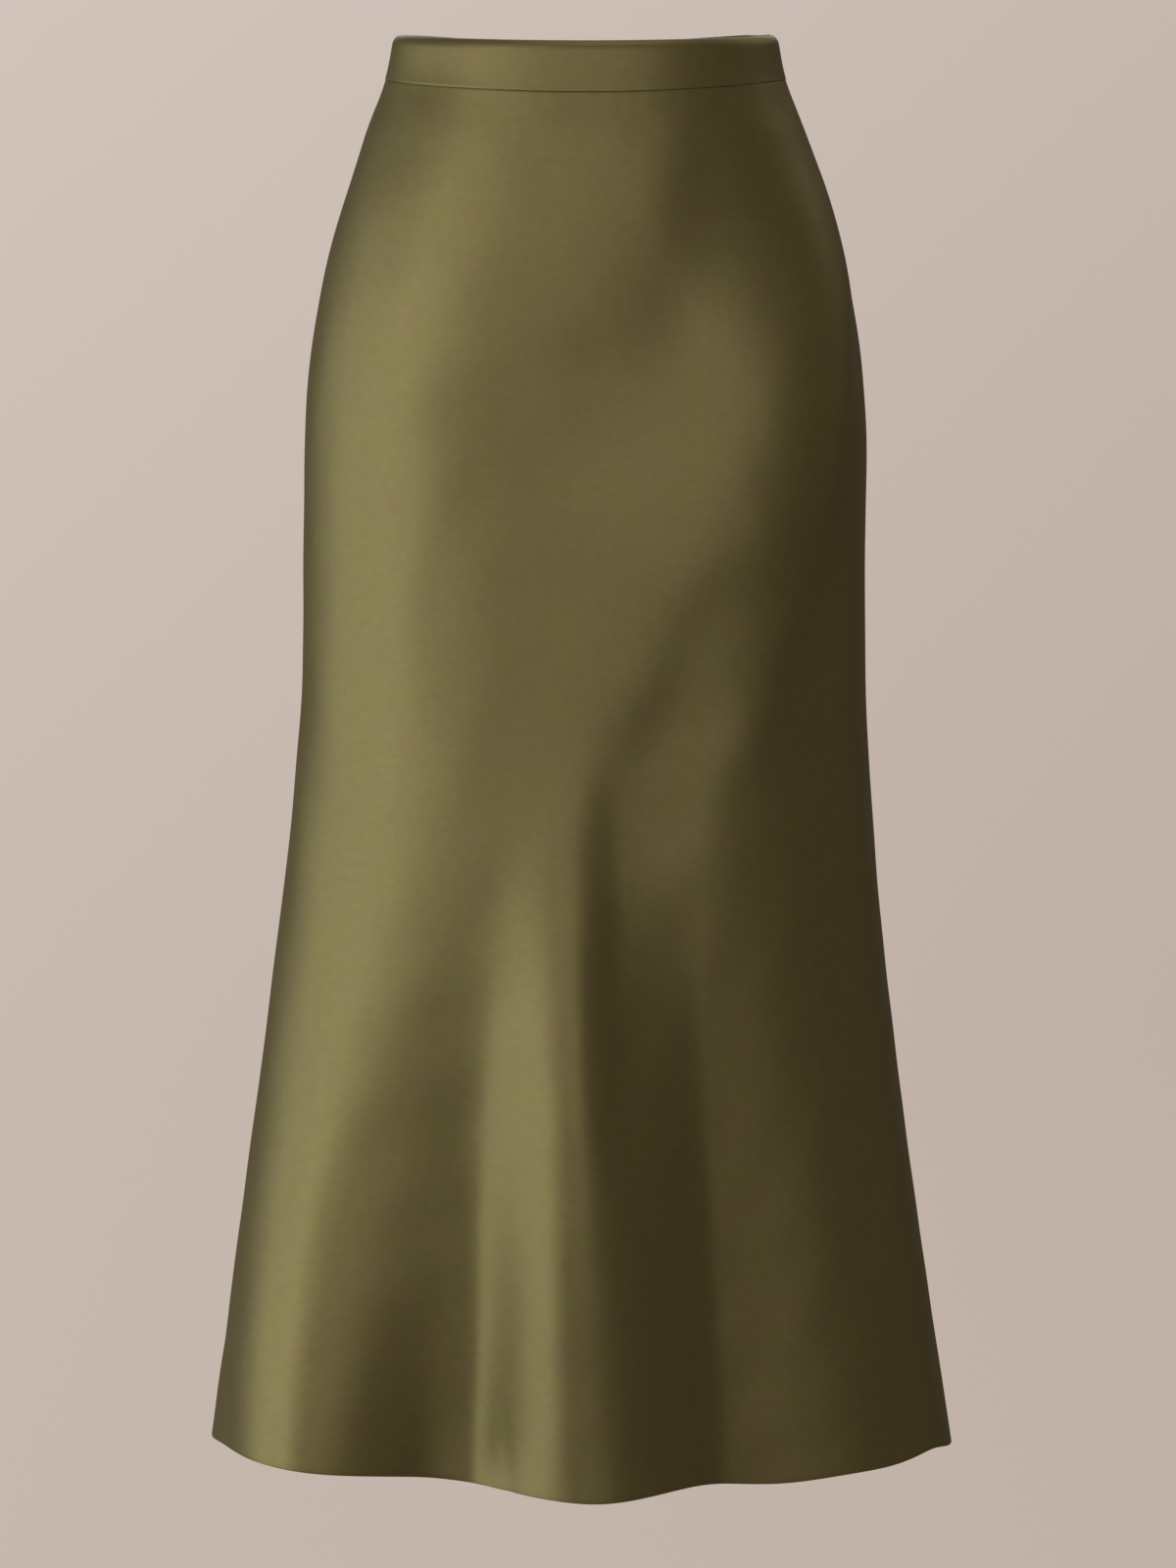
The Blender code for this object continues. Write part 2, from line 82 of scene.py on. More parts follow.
# A fold runs from drop "start" to drop "end" through three across places. Its height grows to
# "end_height" at its end, plus "belly" in its middle. half_right and half_left are its half widths
# towards the wearer's right and left, and "slim" is the share of them that it starts with.
Fold = namedtuple(
    "Fold", "start end across_start across_mid across_end half_right half_left slim belly end_height"
)
HEM = 0.91
FRONT_FOLDS = (
    # the drape that runs from the wearer's left hip down into the main ridge
    Fold(0.010, 0.500, 0.200, 0.152, 0.086, 0.072, 0.025, 1.0, 0.0110, 0.0),
    # the shallow trough above it
    Fold(0.005, 0.330, 0.106, 0.068, 0.000, 0.060, 0.064, 1.0, -0.0094, 0.0),
    # the trough below it, down to the main ridge's foot
    Fold(0.295, 0.555, 0.114, 0.057, 0.031, 0.029, 0.035, 1.0, -0.0045, 0.0),
    # the main ridge at the middle of the front
    Fold(0.405, HEM, -0.006, -0.006, 0.003, 0.050, 0.050, 0.6, 0.0105, 0.018),
    # the deep trough on its wearer's right, and the broad shoulder beyond
    Fold(0.480, HEM, -0.056, -0.066, -0.076, 0.056, 0.040, 0.8, 0.0000, -0.027),
    Fold(0.410, HEM, -0.186, -0.182, -0.172, 0.060, 0.052, 1.05, -0.0060, 0.037),
    # the low trough on its wearer's left, and the crease between them
    Fold(0.405, HEM, 0.062, 0.084, 0.100, 0.040, 0.096, 0.7, -0.0045, -0.022),
    Fold(0.380, 0.760, 0.022, 0.026, 0.036, 0.021, 0.038, 1.0, -0.0068, 0.0),
)
BACK_FOLDS = (
    Fold(0.400, HEM, -0.130, -0.150, -0.185, 0.034, 0.030, 0.6, 0.0000, 0.020),
    Fold(0.480, HEM, -0.080, -0.095, -0.112, 0.030, 0.030, 0.7, 0.0000, -0.016),
    Fold(0.340, HEM, -0.040, -0.035, -0.028, 0.044, 0.040, 0.5, 0.0030, 0.032),
    Fold(0.450, HEM, 0.020, 0.034, 0.048, 0.028, 0.028, 0.7, 0.0000, -0.014),
    Fold(0.380, HEM, 0.070, 0.092, 0.118, 0.038, 0.036, 0.5, 0.0020, 0.026),
    Fold(0.520, HEM, 0.130, 0.160, 0.190, 0.028, 0.026, 0.8, 0.0000, -0.012),
    Fold(0.120, 0.460, -0.150, -0.080, -0.010, 0.034, 0.034, 1.0, 0.0030, 0.0),
)
FOLD_FADE = 0.045

Hang = namedtuple("Hang", "across half_width amount")
FRONT_HANGS = (
    Hang(-0.215, 0.085, -0.0125),
    Hang(-0.330, 0.050, -0.0025),
    Hang(-0.062, 0.040, 0.0035),
    Hang(0.012, 0.050, 0.0070),
    Hang(0.130, 0.050, 0.0055),
    Hang(0.255, 0.030, -0.0050),
)
BACK_HANGS = (
    Hang(-0.310, 0.060, -0.0044),
    Hang(-0.112, 0.035, 0.0030),
    Hang(0.048, 0.030, 0.0030),
)

# ---- Fine form that the solids leave out ----
# Soft creases a millimetre or so high or deep, placed one by one.
FRONT_CREASES = (
    # short crease that rises from the hem on the main ridge's wearer's right
    Fold(0.845, HEM, -0.048, -0.047, -0.046, 0.005, 0.006, 0.6, 0.0000, -0.0012),
    Fold(0.800, HEM, -0.096, -0.100, -0.104, 0.012, 0.014, 0.7, 0.0000, -0.0012),
)
BACK_CREASES = (
    Fold(0.840, HEM, 0.060, 0.061, 0.063, 0.005, 0.005, 0.6, 0.0000, -0.0014),
    Fold(0.150, 0.380, 0.120, 0.070, 0.020, 0.022, 0.024, 1.0, 0.0012, 0.0),
)

# Low soft ripples between the folds: wavelengths across and down, height and phase.
Ripple = namedtuple("Ripple", "across_length down_length height phase")
RIPPLES = (
    Ripple(0.057, 0.310, 0.00008, 0.4),
    Ripple(-0.071, 0.170, 0.00010, 2.1),
    Ripple(0.093, -0.120, 0.00012, 4.0),
    Ripple(0.044, 0.092, 0.00004, 1.2),
    Ripple(-0.039, 0.071, 0.00003, 5.3),
    Ripple(0.150, 0.062, 0.00006, 3.1),
)

CLOTH = 0.45 * MM  # thickness of a layer of satin in these shells
SEAM_ROLL_WIDTH = 0.9 * MM  # how near a seam the cloth turns in, and how far
SEAM_ROLL_DEPTH = 0.22 * MM
SEAM_SPARE = 0.1 * MM  # kept clear of the line of the seam under the band
RIM_CORE = 0.01 * MM  # each face of a round rim stops this short of its middle
RIPPLE_FADE = 20 * MM  # ripples die out this near the side and top seams
TOP_LEAN = 3.2 * MM  # how far the band's top edge leans in, over this height,
TOP_LEAN_HEIGHT = 6 * MM
TOP_LEAN_FADE = 18 * MM  # and how near the zip it stands up again
BAND_CLOTH = BAND_WALL - 0.2 * MM  # the band is a little thinner than its solid
BAND_END_GAPS = (0.05 * MM, 1.2 * MM)  # at the wearer's right seam, and beside the zip
BAND_PUCKER = 0.6  # as a share of a panel's pucker
HEM_WIDTH = 12 * MM  # turned up inside and slip-stitched
HEM_THICKNESS = 2 * CLOTH + 0.1 * MM
ALLOWANCE_WIDTH = 11 * MM  # side seams, pressed open
ALLOWANCE_START = 0.15 * MM
ALLOWANCE_CLEAR = 0.05 * MM
OVERLOCK_WIDTH = 4 * MM
OVERLOCK_STEP = 2.9 * MM  # one loop
OVERLOCK_THREAD = 0.11 * MM
PUCKER_HEIGHT = 0.07 * MM
PUCKER_REACH = 7 * MM
THREAD = 0.13 * MM  # radius of sewing thread, drawn a little thick
STITCH_LENGTH = 2.6 * MM
SLIP_STITCH_STEP = 8 * MM
SLIP_STITCH_INSET = 12 * MM

# ---- The zip behind the wearer's left seam, as the solids have it ----
ZIP_START, ZIP_END = 3.0 * MM, 214 * MM  # drops of the tapes' ends
TAPE_REACH = 12 * MM
TAPE = 0.3 * MM
TAPE_FOLDED = 0.8 * MM
TAPE_FOLD_END = 14 * MM
TAPE_BEHIND_BAND = 2.7 * MM
TAPE_BEHIND_PANEL = 1.75 * MM
TAPE_SEWN_AT = 5.5 * MM
COIL_START, COIL_END = 19.5 * MM, 192 * MM
COIL_PITCH = 1.15 * MM
COIL_THREAD = 0.26 * MM
COIL_MIDDLE = 1.05 * MM  # how far each half of the coil lies from the seam
COIL_HALF_WIDTH = 1.2 * MM
COIL_HALF_DEPTH = 0.5 * MM
PIVOT_DROP = 0.010
PIVOT_OUT = 0.00095
SLIDER_FACE = -0.00515  # the slider's body is this far in from the hinge line
SLIDER_DEEP = 2.2 * MM
SLIDER_WIDE = 5.6 * MM
SLIDER_LONG = 8.5 * MM
SLIDER_BELOW = 0.00175
NECK_THICK = 0.0012
NECK_TALL = 0.0030
EYE_RADIUS = 0.0020
EYE_HOLE = 0.00085
PULL_THICK = 0.0008
PULL_LENGTH = 0.0185
PULL_NECK_WIDTH = 0.0042
PULL_WIDTH = 0.0058
PULL_WINDOW = (0.0020, 0.0030)
PULL_CLEAR = 0.00035

Side = namedtuple("Side", "name is_front folds hangs top_dip seam_dip")
FRONT = Side("front", True, FRONT_FOLDS + FRONT_CREASES, FRONT_HANGS, FRONT_TOP_DIP, FRONT_SEAM_DIP)
BACK = Side("back", False, BACK_FOLDS + BACK_CREASES, BACK_HANGS, BACK_DIP, BACK_DIP)


# ---- Form functions, on arrays ----
def ring_values(drop):
    """The rings' sizes at each drop, as one array for each field of Ring, on smooth curves."""
    table = np.array(RINGS)
    last = len(RINGS) - 1
    row = np.clip(np.searchsorted(table[:, 0], drop) - 1, 0, last - 1)
    before, low, high, after = (table[np.clip(row + step, 0, last)] for step in (-1, 0, 1, 2))
    span = high[:, :1] - low[:, :1]
    part = (drop[:, None] - low[:, :1]) / span
    slope_low = (high - before) / (high[:, :1] - before[:, :1]) * span
    slope_high = (after - low) / (after[:, :1] - low[:, :1]) * span
    bend = 2 * (low - high) + slope_low + slope_high
    lean = 3 * (high - low) - 2 * slope_low - slope_high
    return Ring(*(((bend * part + lean) * part + slope_low) * part + low).T)


def signed_power(value, exponent):
    return np.copysign(np.abs(value) ** exponent, value)


def ring_points(ring, angle):
    turn = 2 / ring.squareness
    depth = np.where(np.cos(angle) > 0, ring.front, ring.back)
    x = ring.sway + ring.half_width * signed_power(np.sin(angle), turn)
    return x, -depth * signed_power(np.cos(angle), turn)


class Wrap:
    """Where equal shares of a panel's width lie on the rings, looked up in a fine table."""

    ARC_STEPS = 900
    DROP_STEPS = 420
    SHARE_STEPS = 600

    def __init__(self, is_front):
        drops = np.linspace(0.0, HEM, self.DROP_STEPS + 1)
        rings = ring_values(drops)
        power = rings.squareness / 2
        edge = math.pi / 2 + np.arcsin((rings.seam_back / rings.back) ** power)
        first, last = (-edge, edge) if is_front else (edge, 2 * math.pi - edge)
        steps = np.linspace(0.0, 1.0, self.ARC_STEPS + 1)
        angles = first[:, None] + (last - first)[:, None] * steps
        x, y = ring_points(Ring(*(np.array(field)[:, None] for field in rings)), angles)
        runs = np.cumsum(np.hypot(np.diff(x, axis=1), np.diff(y, axis=1)), axis=1)
        runs = np.hstack([np.zeros((len(drops), 1)), runs])
        shares = np.linspace(0.0, 1.0, self.SHARE_STEPS + 1)
        rows = [np.interp(shares * run[-1], run, angle) for run, angle in zip(runs, angles)]
        self.angles = np.array(rows)
        self.drops = drops
        self.widths = runs[:, -1]

    def width(self, drop):
        return np.interp(drop, self.drops, self.widths)

    def angle(self, share, drop):
        row = np.clip(drop / HEM, 0, 1) * self.DROP_STEPS
        column = np.clip(share, 0, 1) * self.SHARE_STEPS
        low_row = np.minimum(row.astype(int), self.DROP_STEPS - 1)
        low_column = np.minimum(column.astype(int), self.SHARE_STEPS - 1)
        down, along = row - low_row, column - low_column
        top, bottom = (
            self.angles[line, low_column] * (1 - along) + self.angles[line, low_column + 1] * along
            for line in (low_row, low_row + 1)
        )
        return top * (1 - down) + bottom * down


WRAPS = {"front": Wrap(True), "back": Wrap(False)}


def smooth_step(value):
    value = np.clip(value, 0.0, 1.0)
    return value * value * (3 - 2 * value)


def fold_height(fold, across, drop):
    """How far a fold lifts the cloth at each place."""
    part = (drop - fold.start) / (fold.end - fold.start)
    shown = (part > 0) & ((part <= 1) | (fold.end_height != 0))
    part = np.clip(part, 0.0, 1.0)
    straight = fold.across_start + (fold.across_end - fold.across_start) * part
    bulge = fold.across_mid - (fold.across_start + fold.across_end) / 2
    line = straight + bulge * 4 * part * (1 - part)
    lean = (fold.across_end - fold.across_start) + bulge * 4 * (1 - 2 * part)
    away = (across - line) * np.cos(np.arctan2(lean, fold.end - fold.start))
    half = np.where(away > 0, fold.half_left, fold.half_right)
    half = half * (fold.slim + (1 - fold.slim) * part)
    height = fold.end_height * smooth_step(part) + fold.belly * np.sin(math.pi * part) ** 2
    return np.where(shown, height * np.exp(-((away / half) ** 2)), 0.0)


def across_of(side, share, drop):
    from_middle = (share - 0.5) * WRAPS[side.name].width(drop)
    return from_middle if side.is_front else -from_middle


def cloth_points(side, share, drop, out=0.0):
    """Points of the skirt's outer face, or that far out of it, level. The last axis is x, y, z."""
    ring = ring_values(drop.ravel())
    ring = Ring(*(field.reshape(drop.shape) for field in ring))
    wrap = WRAPS[side.name]
    x, y = ring_points(ring, wrap.angle(share, drop))
    power = ring.squareness - 1
    depth = np.where(y < 0, ring.front, ring.back)
    out_x = signed_power((x - ring.sway) / ring.half_width, power) / ring.half_width
    out_y = signed_power(y / depth, power) / depth
    length = np.hypot(out_x, out_y)
    across = across_of(side, share, drop)
    to_seam = wrap.width(drop) / 2 - np.abs(across)
    lift = sum(fold_height(fold, across, drop) for fold in side.folds)
    lift = lift * smooth_step(to_seam / FOLD_FADE) + out
    return np.stack([x + out_x / length * lift, y + out_y / length * lift, TOP_LEVEL - drop], axis=-1)


def dip(depth, share):
    return depth * np.sin(math.pi * share) ** 2


def seam_drop(side, share):
    return BAND_HEIGHT + dip(side.seam_dip, share)


def hem_drop(side, share):
    across = across_of(side, share, np.full(share.shape, SKIRT_LENGTH))
    lower = (
        hang.amount * np.exp(-(((across - hang.across) / hang.half_width) ** 2)) for hang in side.hangs
    )
    return SKIRT_LENGTH + sum(lower)


def left_seam_points(along, drop, out=0.0):
    """Points beside the wearer's left seam, along the cloth from it: behind it (plus) or before it."""
    along, drop = np.broadcast_arrays(np.asarray(along, float), np.asarray(drop, float))
    behind = cloth_points(BACK, np.maximum(along, 0) / WRAPS["back"].width(drop), drop, out)
    before = cloth_points(FRONT, 1 + np.minimum(along, 0) / WRAPS["front"].width(drop), drop, out)
    return np.where((along > 0)[..., None], behind, before)


def left_seam_frame(along, drop):
    """Outward, backward and upward directions there, at right angles to each other."""
    step = 0.002
    up = left_seam_points(along, drop - step) - left_seam_points(along, drop + step)
    up /= np.linalg.norm(up, axis=-1, keepdims=True)
    level = left_seam_points(along, drop, 1.0) - left_seam_points(along, drop)
    backward = np.stack([-level[..., 1], level[..., 0], np.zeros(level.shape[:-1])], axis=-1)
    outward = np.cross(backward, up)
    outward /= np.linalg.norm(outward, axis=-1, keepdims=True)
    return outward, np.cross(up, outward), up


def unevenness(across, drop):
    """The low ripples, strong in some places and nearly gone in others."""
    height = 0.0
    for ripple in RIPPLES:
        turns = across / ripple.across_length + drop / ripple.down_length
        patch = np.sin(across / 0.061 + ripple.phase) * np.sin(drop / 0.083 + 2 * ripple.phase)
        height = height + ripple.height * (1 + patch) * np.sin(2 * math.pi * turns + ripple.phase)
    return height


def pucker(across, distance):
    """The faint gathering that a row of stitches leaves beside a seam."""
    wave = np.sin(across / (1.9 * MM)) + 0.8 * np.sin(across / (3.1 * MM) + 1.3)
    wave *= 0.6 + 0.4 * np.sin(across / (21 * MM) + 0.4)
    return PUCKER_HEIGHT * wave * np.exp(-distance / PUCKER_REACH)


def rounded(distance, radius):
    """How deep a half-round edge has turned, at a distance from its tip."""
    left = np.clip(radius - distance, 0.0, radius)
    return radius - np.sqrt(radius * radius - left * left)


def seam_roll(distance):
    return SEAM_ROLL_DEPTH * np.clip(1 - distance / SEAM_ROLL_WIDTH, 0.0, 1.0) ** 2


# ---- Mesh helpers ----
def add_object(name, data):
    thing = bpy.data.objects.new(name, data)
    bpy.context.scene.collection.objects.link(thing)
    return thing


def add_mesh(name, points, faces, materials=(), sharp_from=180):
    """A smooth-shaded piece whose edges stay sharp from an angle in degrees."""
    mesh = bpy.data.meshes.new(name)
    mesh.from_pydata(points, [], faces)
    for material in materials:
        mesh.materials.append(material)
    mesh.shade_smooth()
    mesh.set_sharp_from_angle(angle=math.radians(sharp_from))
    return add_object(name, mesh)


def spaced(count, length, near_start, near_end):
    """Shares from 0 to 1 in even steps, with more at millimetres from the start and the end."""
    even = np.linspace(0.0, 1.0, count + 1)
    extra = [distance * MM / length for distance in near_start]
    extra += [1 - distance * MM / length for distance in near_end]
    return np.unique(np.concatenate([even, extra]))


def grid_faces(rows, columns, first=0):
    """Quads of a grid whose vertices run along the columns, row after row."""
    corner = (np.arange(rows - 1)[:, None] * columns + np.arange(columns - 1)).ravel() + first
    return np.stack([corner, corner + 1, corner + columns + 1, corner + columns], axis=1)


def ring_faces(rings, sides):
    """Quads between rings of vertices, each ring closed on itself."""
    index = np.arange(rings * sides).reshape(rings, sides)
    after = np.roll(index, -1, axis=1)
    return np.stack([index[:-1], after[:-1], after[1:], index[1:]], axis=-1).reshape(-1, 4)


def surface_normals(points):
    """Outward unit normals of a grid of points whose rows run up the cloth."""
    normals = np.cross(np.gradient(points, axis=1), np.gradient(points, axis=0))
    return normals / np.linalg.norm(normals, axis=2, keepdims=True)


def closed_shell(name, surface, outer_depth, inner_depth, across, drop, materials, inner_slots=None):
    """A closed piece of cloth between two depths behind a surface.

    surface is a grid of points, across and drop their places on the cut cloth, and inner_slots the
    material slot of each row of the inner face."""
    normals = surface_normals(surface)
    outer = surface - normals * outer_depth[..., None]
    inner = surface - normals * inner_depth[..., None]
    rows, columns = surface.shape[:2]
    size = rows * columns
    index = np.arange(size).reshape(rows, columns)
    faces = [grid_faces(rows, columns), grid_faces(rows, columns, size)[:, ::-1]]
    for edge in (index[0, ::-1], index[-1], index[:, 0], index[::-1, -1]):
        faces.append(np.stack([edge[:-1], edge[1:], edge[1:] + size, edge[:-1] + size], axis=1))
    quads = len(faces[0])
    faces = np.vstack(faces)
    slots = np.zeros(len(faces), int)
    if inner_slots is not None:
        slots[quads : 2 * quads] = np.repeat(inner_slots[:-1], columns - 1)
    points = np.vstack([outer.reshape(-1, 3), inner.reshape(-1, 3)])
    piece = add_mesh(name, points.tolist(), faces.tolist(), materials, 55)
    piece.data.polygons.foreach_set("material_index", slots)
    places = np.vstack([np.stack([across, -drop], axis=-1).reshape(-1, 2)] * 2)
    cloth_map = piece.data.uv_layers.new(name="cloth")
    cloth_map.data.foreach_set("uv", places[faces.ravel()].ravel())
    return piece


def tube_parts(path, radius, sides):
    """Points and faces of a closed tube along a path of points."""
    along = np.gradient(path, axis=0)
    along /= np.linalg.norm(along, axis=1, keepdims=True)
    helper = np.eye(3)[np.argmin(np.abs(along[0]))]
    across = np.cross(along, helper)
    for step in range(1, len(path)):
        kept = across[step - 1] - along[step] * (across[step - 1] @ along[step])
        across[step] = kept / np.linalg.norm(kept)
    across /= np.linalg.norm(across, axis=1, keepdims=True)
    third = np.cross(along, across)
    turn = np.linspace(0, 2 * math.pi, sides, endpoint=False)
    rings = path[:, None] + radius * (
        across[:, None] * np.cos(turn)[:, None] + third[:, None] * np.sin(turn)[:, None]
    )
    faces = ring_faces(len(path), sides).tolist()
    ends = np.arange(len(path) * sides)
    faces += [ends[:sides][::-1].tolist(), ends[-sides:].tolist()]
    return rings.reshape(-1, 3), faces


def mesh_of_parts(name, parts, material):
    """One piece from small closed parts, each a pair of points and faces."""
    faces, first = [], 0
    for places, corners in parts:
        faces += [[corner + first for corner in face] for face in corners]
        first += len(places)
    points = np.vstack([part[0] for part in parts]).tolist()
    return add_mesh(name, points, faces, (material,), 60)


def stitch_parts(starts, ends, bows):
    """Short threads between pairs of points, each bowed out by its own vector."""
    shares = np.linspace(0.0, 1.0, 5)[:, None]
    arch = np.sin(math.pi * shares)
    paths = [low + (high - low) * shares + bow * arch for low, high, bow in zip(starts, ends, bows)]
    return [tube_parts(path, THREAD, 5) for path in paths]


def finish_piece(piece, body, material_slot, *nodes):
    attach(piece, body)
    if nodes:
        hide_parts(*nodes)
    return piece


# ---- Materials ----
def srgb(hex_colour):
    """An sRGB hex colour as linear RGBA."""
    channels = [int(hex_colour[start : start + 2], 16) / 255 for start in (0, 2, 4)]
    return [c / 12.92 if c <= 0.04045 else ((c + 0.055) / 1.055) ** 2.4 for c in channels] + [1.0]


def set_inputs(tree, node, inputs):
    """An input takes a number or colour, an output, or a node, meaning its first output in use."""
    for name, value in inputs.items():
        if isinstance(value, bpy.types.Node):
            value = next(output for output in value.outputs if output.enabled)
        if isinstance(value, bpy.types.NodeSocket):
            tree.links.new(value, node.inputs[name])
        else:
            node.inputs[name].default_value = value


def new_material(name, colour, roughness, metallic=0.0, specular=0.5):
    """A Principled material, with its tree and its shader."""
    material = bpy.data.materials.new(name)
    material.use_nodes = True
    tree = material.node_tree
    shader = tree.nodes["Principled BSDF"]
    inputs = {"Base Color": srgb(colour), "Roughness": roughness, "Metallic": metallic}
    set_inputs(tree, shader, {**inputs, "Specular IOR Level": specular})
    return material, tree, shader


def add_node(tree, kind, inputs=None, **settings):
    """Adds a node with its settings and its inputs' values or links."""
    node = tree.nodes.new(kind)
    for name, value in settings.items():
        setattr(node, name, value)
    set_inputs(tree, node, inputs or {})
    return node


def cloth_noise(tree, place, size_across, size_along, detail):
    """A node of noise whose grains have real sizes across and along the cloth."""
    sizes = (1 / size_across, 1 / size_along, 1.0)
    scaled = add_node(tree, "ShaderNodeMapping", {"Vector": place, "Scale": sizes})
    inputs = {"Vector": scaled, "Scale": 1.0, "Detail": detail, "Roughness": 0.6}
    return add_node(tree, "ShaderNodeTexNoise", inputs, noise_dimensions="2D")


def make_satin(name, green, brown, roughness, metallic, specular):
    """Polyester satin: long floats of fine bright yarn that mirror the light softly, as a metal does.

    The eye sees broad soft highlights, a faint drift between green and brown, and fine uneven yarn."""
    material, tree, shader = new_material(name, green, roughness, metallic, specular)
    place = add_node(tree, "ShaderNodeUVMap", uv_map="cloth")
    # dye takes a little unevenly over fingers' breadths
    patches = cloth_noise(tree, place, 26 * MM, 30 * MM, 2.0)
    inputs = {"Value": patches, "From Min": 0.2, "From Max": 0.8}
    drift = add_node(tree, "ShaderNodeMapRange", inputs)
    inputs = {0: drift, 6: srgb(green), 7: srgb(brown)}
    dye = add_node(tree, "ShaderNodeMix", inputs, data_type="RGBA")
    # and the floats lie a little flatter or fuller in spots a few millimetres wide
    inputs = {"Value": cloth_noise(tree, place, 7 * MM, 5 * MM, 3.0), "To Min": 0.93, "To Max": 1.03}
    inputs.update({"From Min": 0.25, "From Max": 0.75})
    spots = add_node(tree, "ShaderNodeMapRange", inputs)
    inputs = {0: 1.0, 6: dye, 7: spots}
    tint = add_node(tree, "ShaderNodeMix", inputs, data_type="RGBA", blend_type="MULTIPLY")
    # warp threads are 0.1 mm apart, too fine to show, so the streaks are drawn about six times wider
    streaks = cloth_noise(tree, place, 0.7 * MM, 9 * MM, 2.0)
    slubs = cloth_noise(tree, place, 7 * MM, 0.8 * MM, 2.0)
    yarn = add_node(tree, "ShaderNodeMath", {0: streaks, 1: slubs}, operation="ADD")
    fine = add_node(tree, "ShaderNodeBump", {"Height": yarn, "Strength": 0.35, "Distance": 0.05 * MM})
    # faint cockles about a centimetre wide
    cockle = cloth_noise(tree, place, 8 * MM, 11 * MM, 2.0)
    inputs = {"Height": cockle, "Strength": 0.4, "Distance": 0.12 * MM, "Normal": fine}
    bump = add_node(tree, "ShaderNodeBump", inputs)
    set_inputs(tree, shader, {"Base Color": tint, "Normal": bump})
    return material


def make_zip_weave():
    """Woven polyester tape: warp ribs side by side, crossed by finer weft.

    The eye sees a dull fine rib."""
    material, tree, shader = new_material("woven_polyester_tape", "5f5539", 0.82, specular=0.3)
    place = add_node(tree, "ShaderNodeUVMap", uv_map="cloth")
    # real ribs are about 0.35 mm apart and the weft 0.25 mm; both are drawn at 0.5 mm
    heights = []
    for direction in ("X", "Y"):
        inputs = {"Vector": place, "Scale": 1 / (0.5 * MM) / 3.2, "Distortion": 0.4, "Detail": 1.0}
        wave = add_node(tree, "ShaderNodeTexWave", inputs, bands_direction=direction)
        heights.append(wave.outputs["Fac"])
    both = add_node(tree, "ShaderNodeMath", {0: heights[0], 1: heights[1]}, operation="MULTIPLY")
    inputs = {0: both, 6: srgb("554b31"), 7: srgb("6b6043")}
    shade = add_node(tree, "ShaderNodeMix", inputs, data_type="RGBA")
    bump = add_node(tree, "ShaderNodeBump", {"Height": both, "Strength": 0.5, "Distance": 0.12 * MM})
    set_inputs(tree, shader, {"Base Color": shade, "Normal": bump})
    return material


def make_grained(name, light, dark, roughness, specular, size, bump_distance, metallic=0.0):
    """A plain dyed or painted finish: a slight drift of shade and a fine uneven surface."""
    material, tree, shader = new_material(name, light, roughness, metallic, specular)
    place = add_node(tree, "ShaderNodeTexCoord").outputs["Object"]
    inputs = {"Vector": place, "Scale": 1 / size, "Detail": 2.0}
    grain = add_node(tree, "ShaderNodeTexNoise", inputs)
    drift = add_node(tree, "ShaderNodeMapRange", {"Value": grain, "From Min": 0.3, "From Max": 0.7})
    inputs = {0: drift, 6: srgb(light), 7: srgb(dark)}
    shade = add_node(tree, "ShaderNodeMix", inputs, data_type="RGBA")
    inputs = {"Height": grain, "Strength": 0.3, "Distance": bump_distance}
    bump = add_node(tree, "ShaderNodeBump", inputs)
    set_inputs(tree, shader, {"Base Color": shade, "Normal": bump})
    return material


# ---- Light, floor and camera ----
IMAGE_HEIGHT = 1600
SENSOR = 36.0
FOCAL_PIXELS = 7290  # focal length in pixels of the image's height
CAMERA_DISTANCE = 4.5
LOOK_DOWN = math.atan(765 / FOCAL_PIXELS)
AIM = Vector((0.0, 0.0, -0.4))


def add_camera():
    data = bpy.data.cameras.new("camera")
    data.sensor_width = SENSOR
    data.lens = FOCAL_PIXELS / IMAGE_HEIGHT * SENSOR
    camera = add_object("camera", data)
    camera.location = (0.0015, -CAMERA_DISTANCE, TOP_LEVEL)
    camera.rotation_euler = (math.pi / 2 - LOOK_DOWN, 0.0, 0.0)
    bpy.context.scene.camera = camera


def add_softbox(name, azimuth, elevation, distance, width, height, power, colour):
    """A soft light that faces the skirt, at an azimuth from the front towards the wearer's left."""
    data = bpy.data.lights.new(name, "AREA")
    data.shape = "RECTANGLE"
    data.size = width
    data.size_y = height
    data.energy = power
    data.color = srgb(colour)[:3]
    light = add_object(name, data)
    turn, rise = math.radians(azimuth), math.radians(elevation)
    level = math.cos(rise)
    toward = Vector((math.sin(turn) * level, -math.cos(turn) * level, math.sin(rise)))
    light.location = AIM + toward * distance
    light.rotation_euler = (-toward).to_track_quat("-Z", "Y").to_euler()
    light.visible_camera = False


STUDIO_RADIUS = 10.0
STUDIO_CURVE = 4.0  # radius of the sweep from floor to wall
STUDIO_SIDES = 64
FLOOR_LEVEL = -1.5


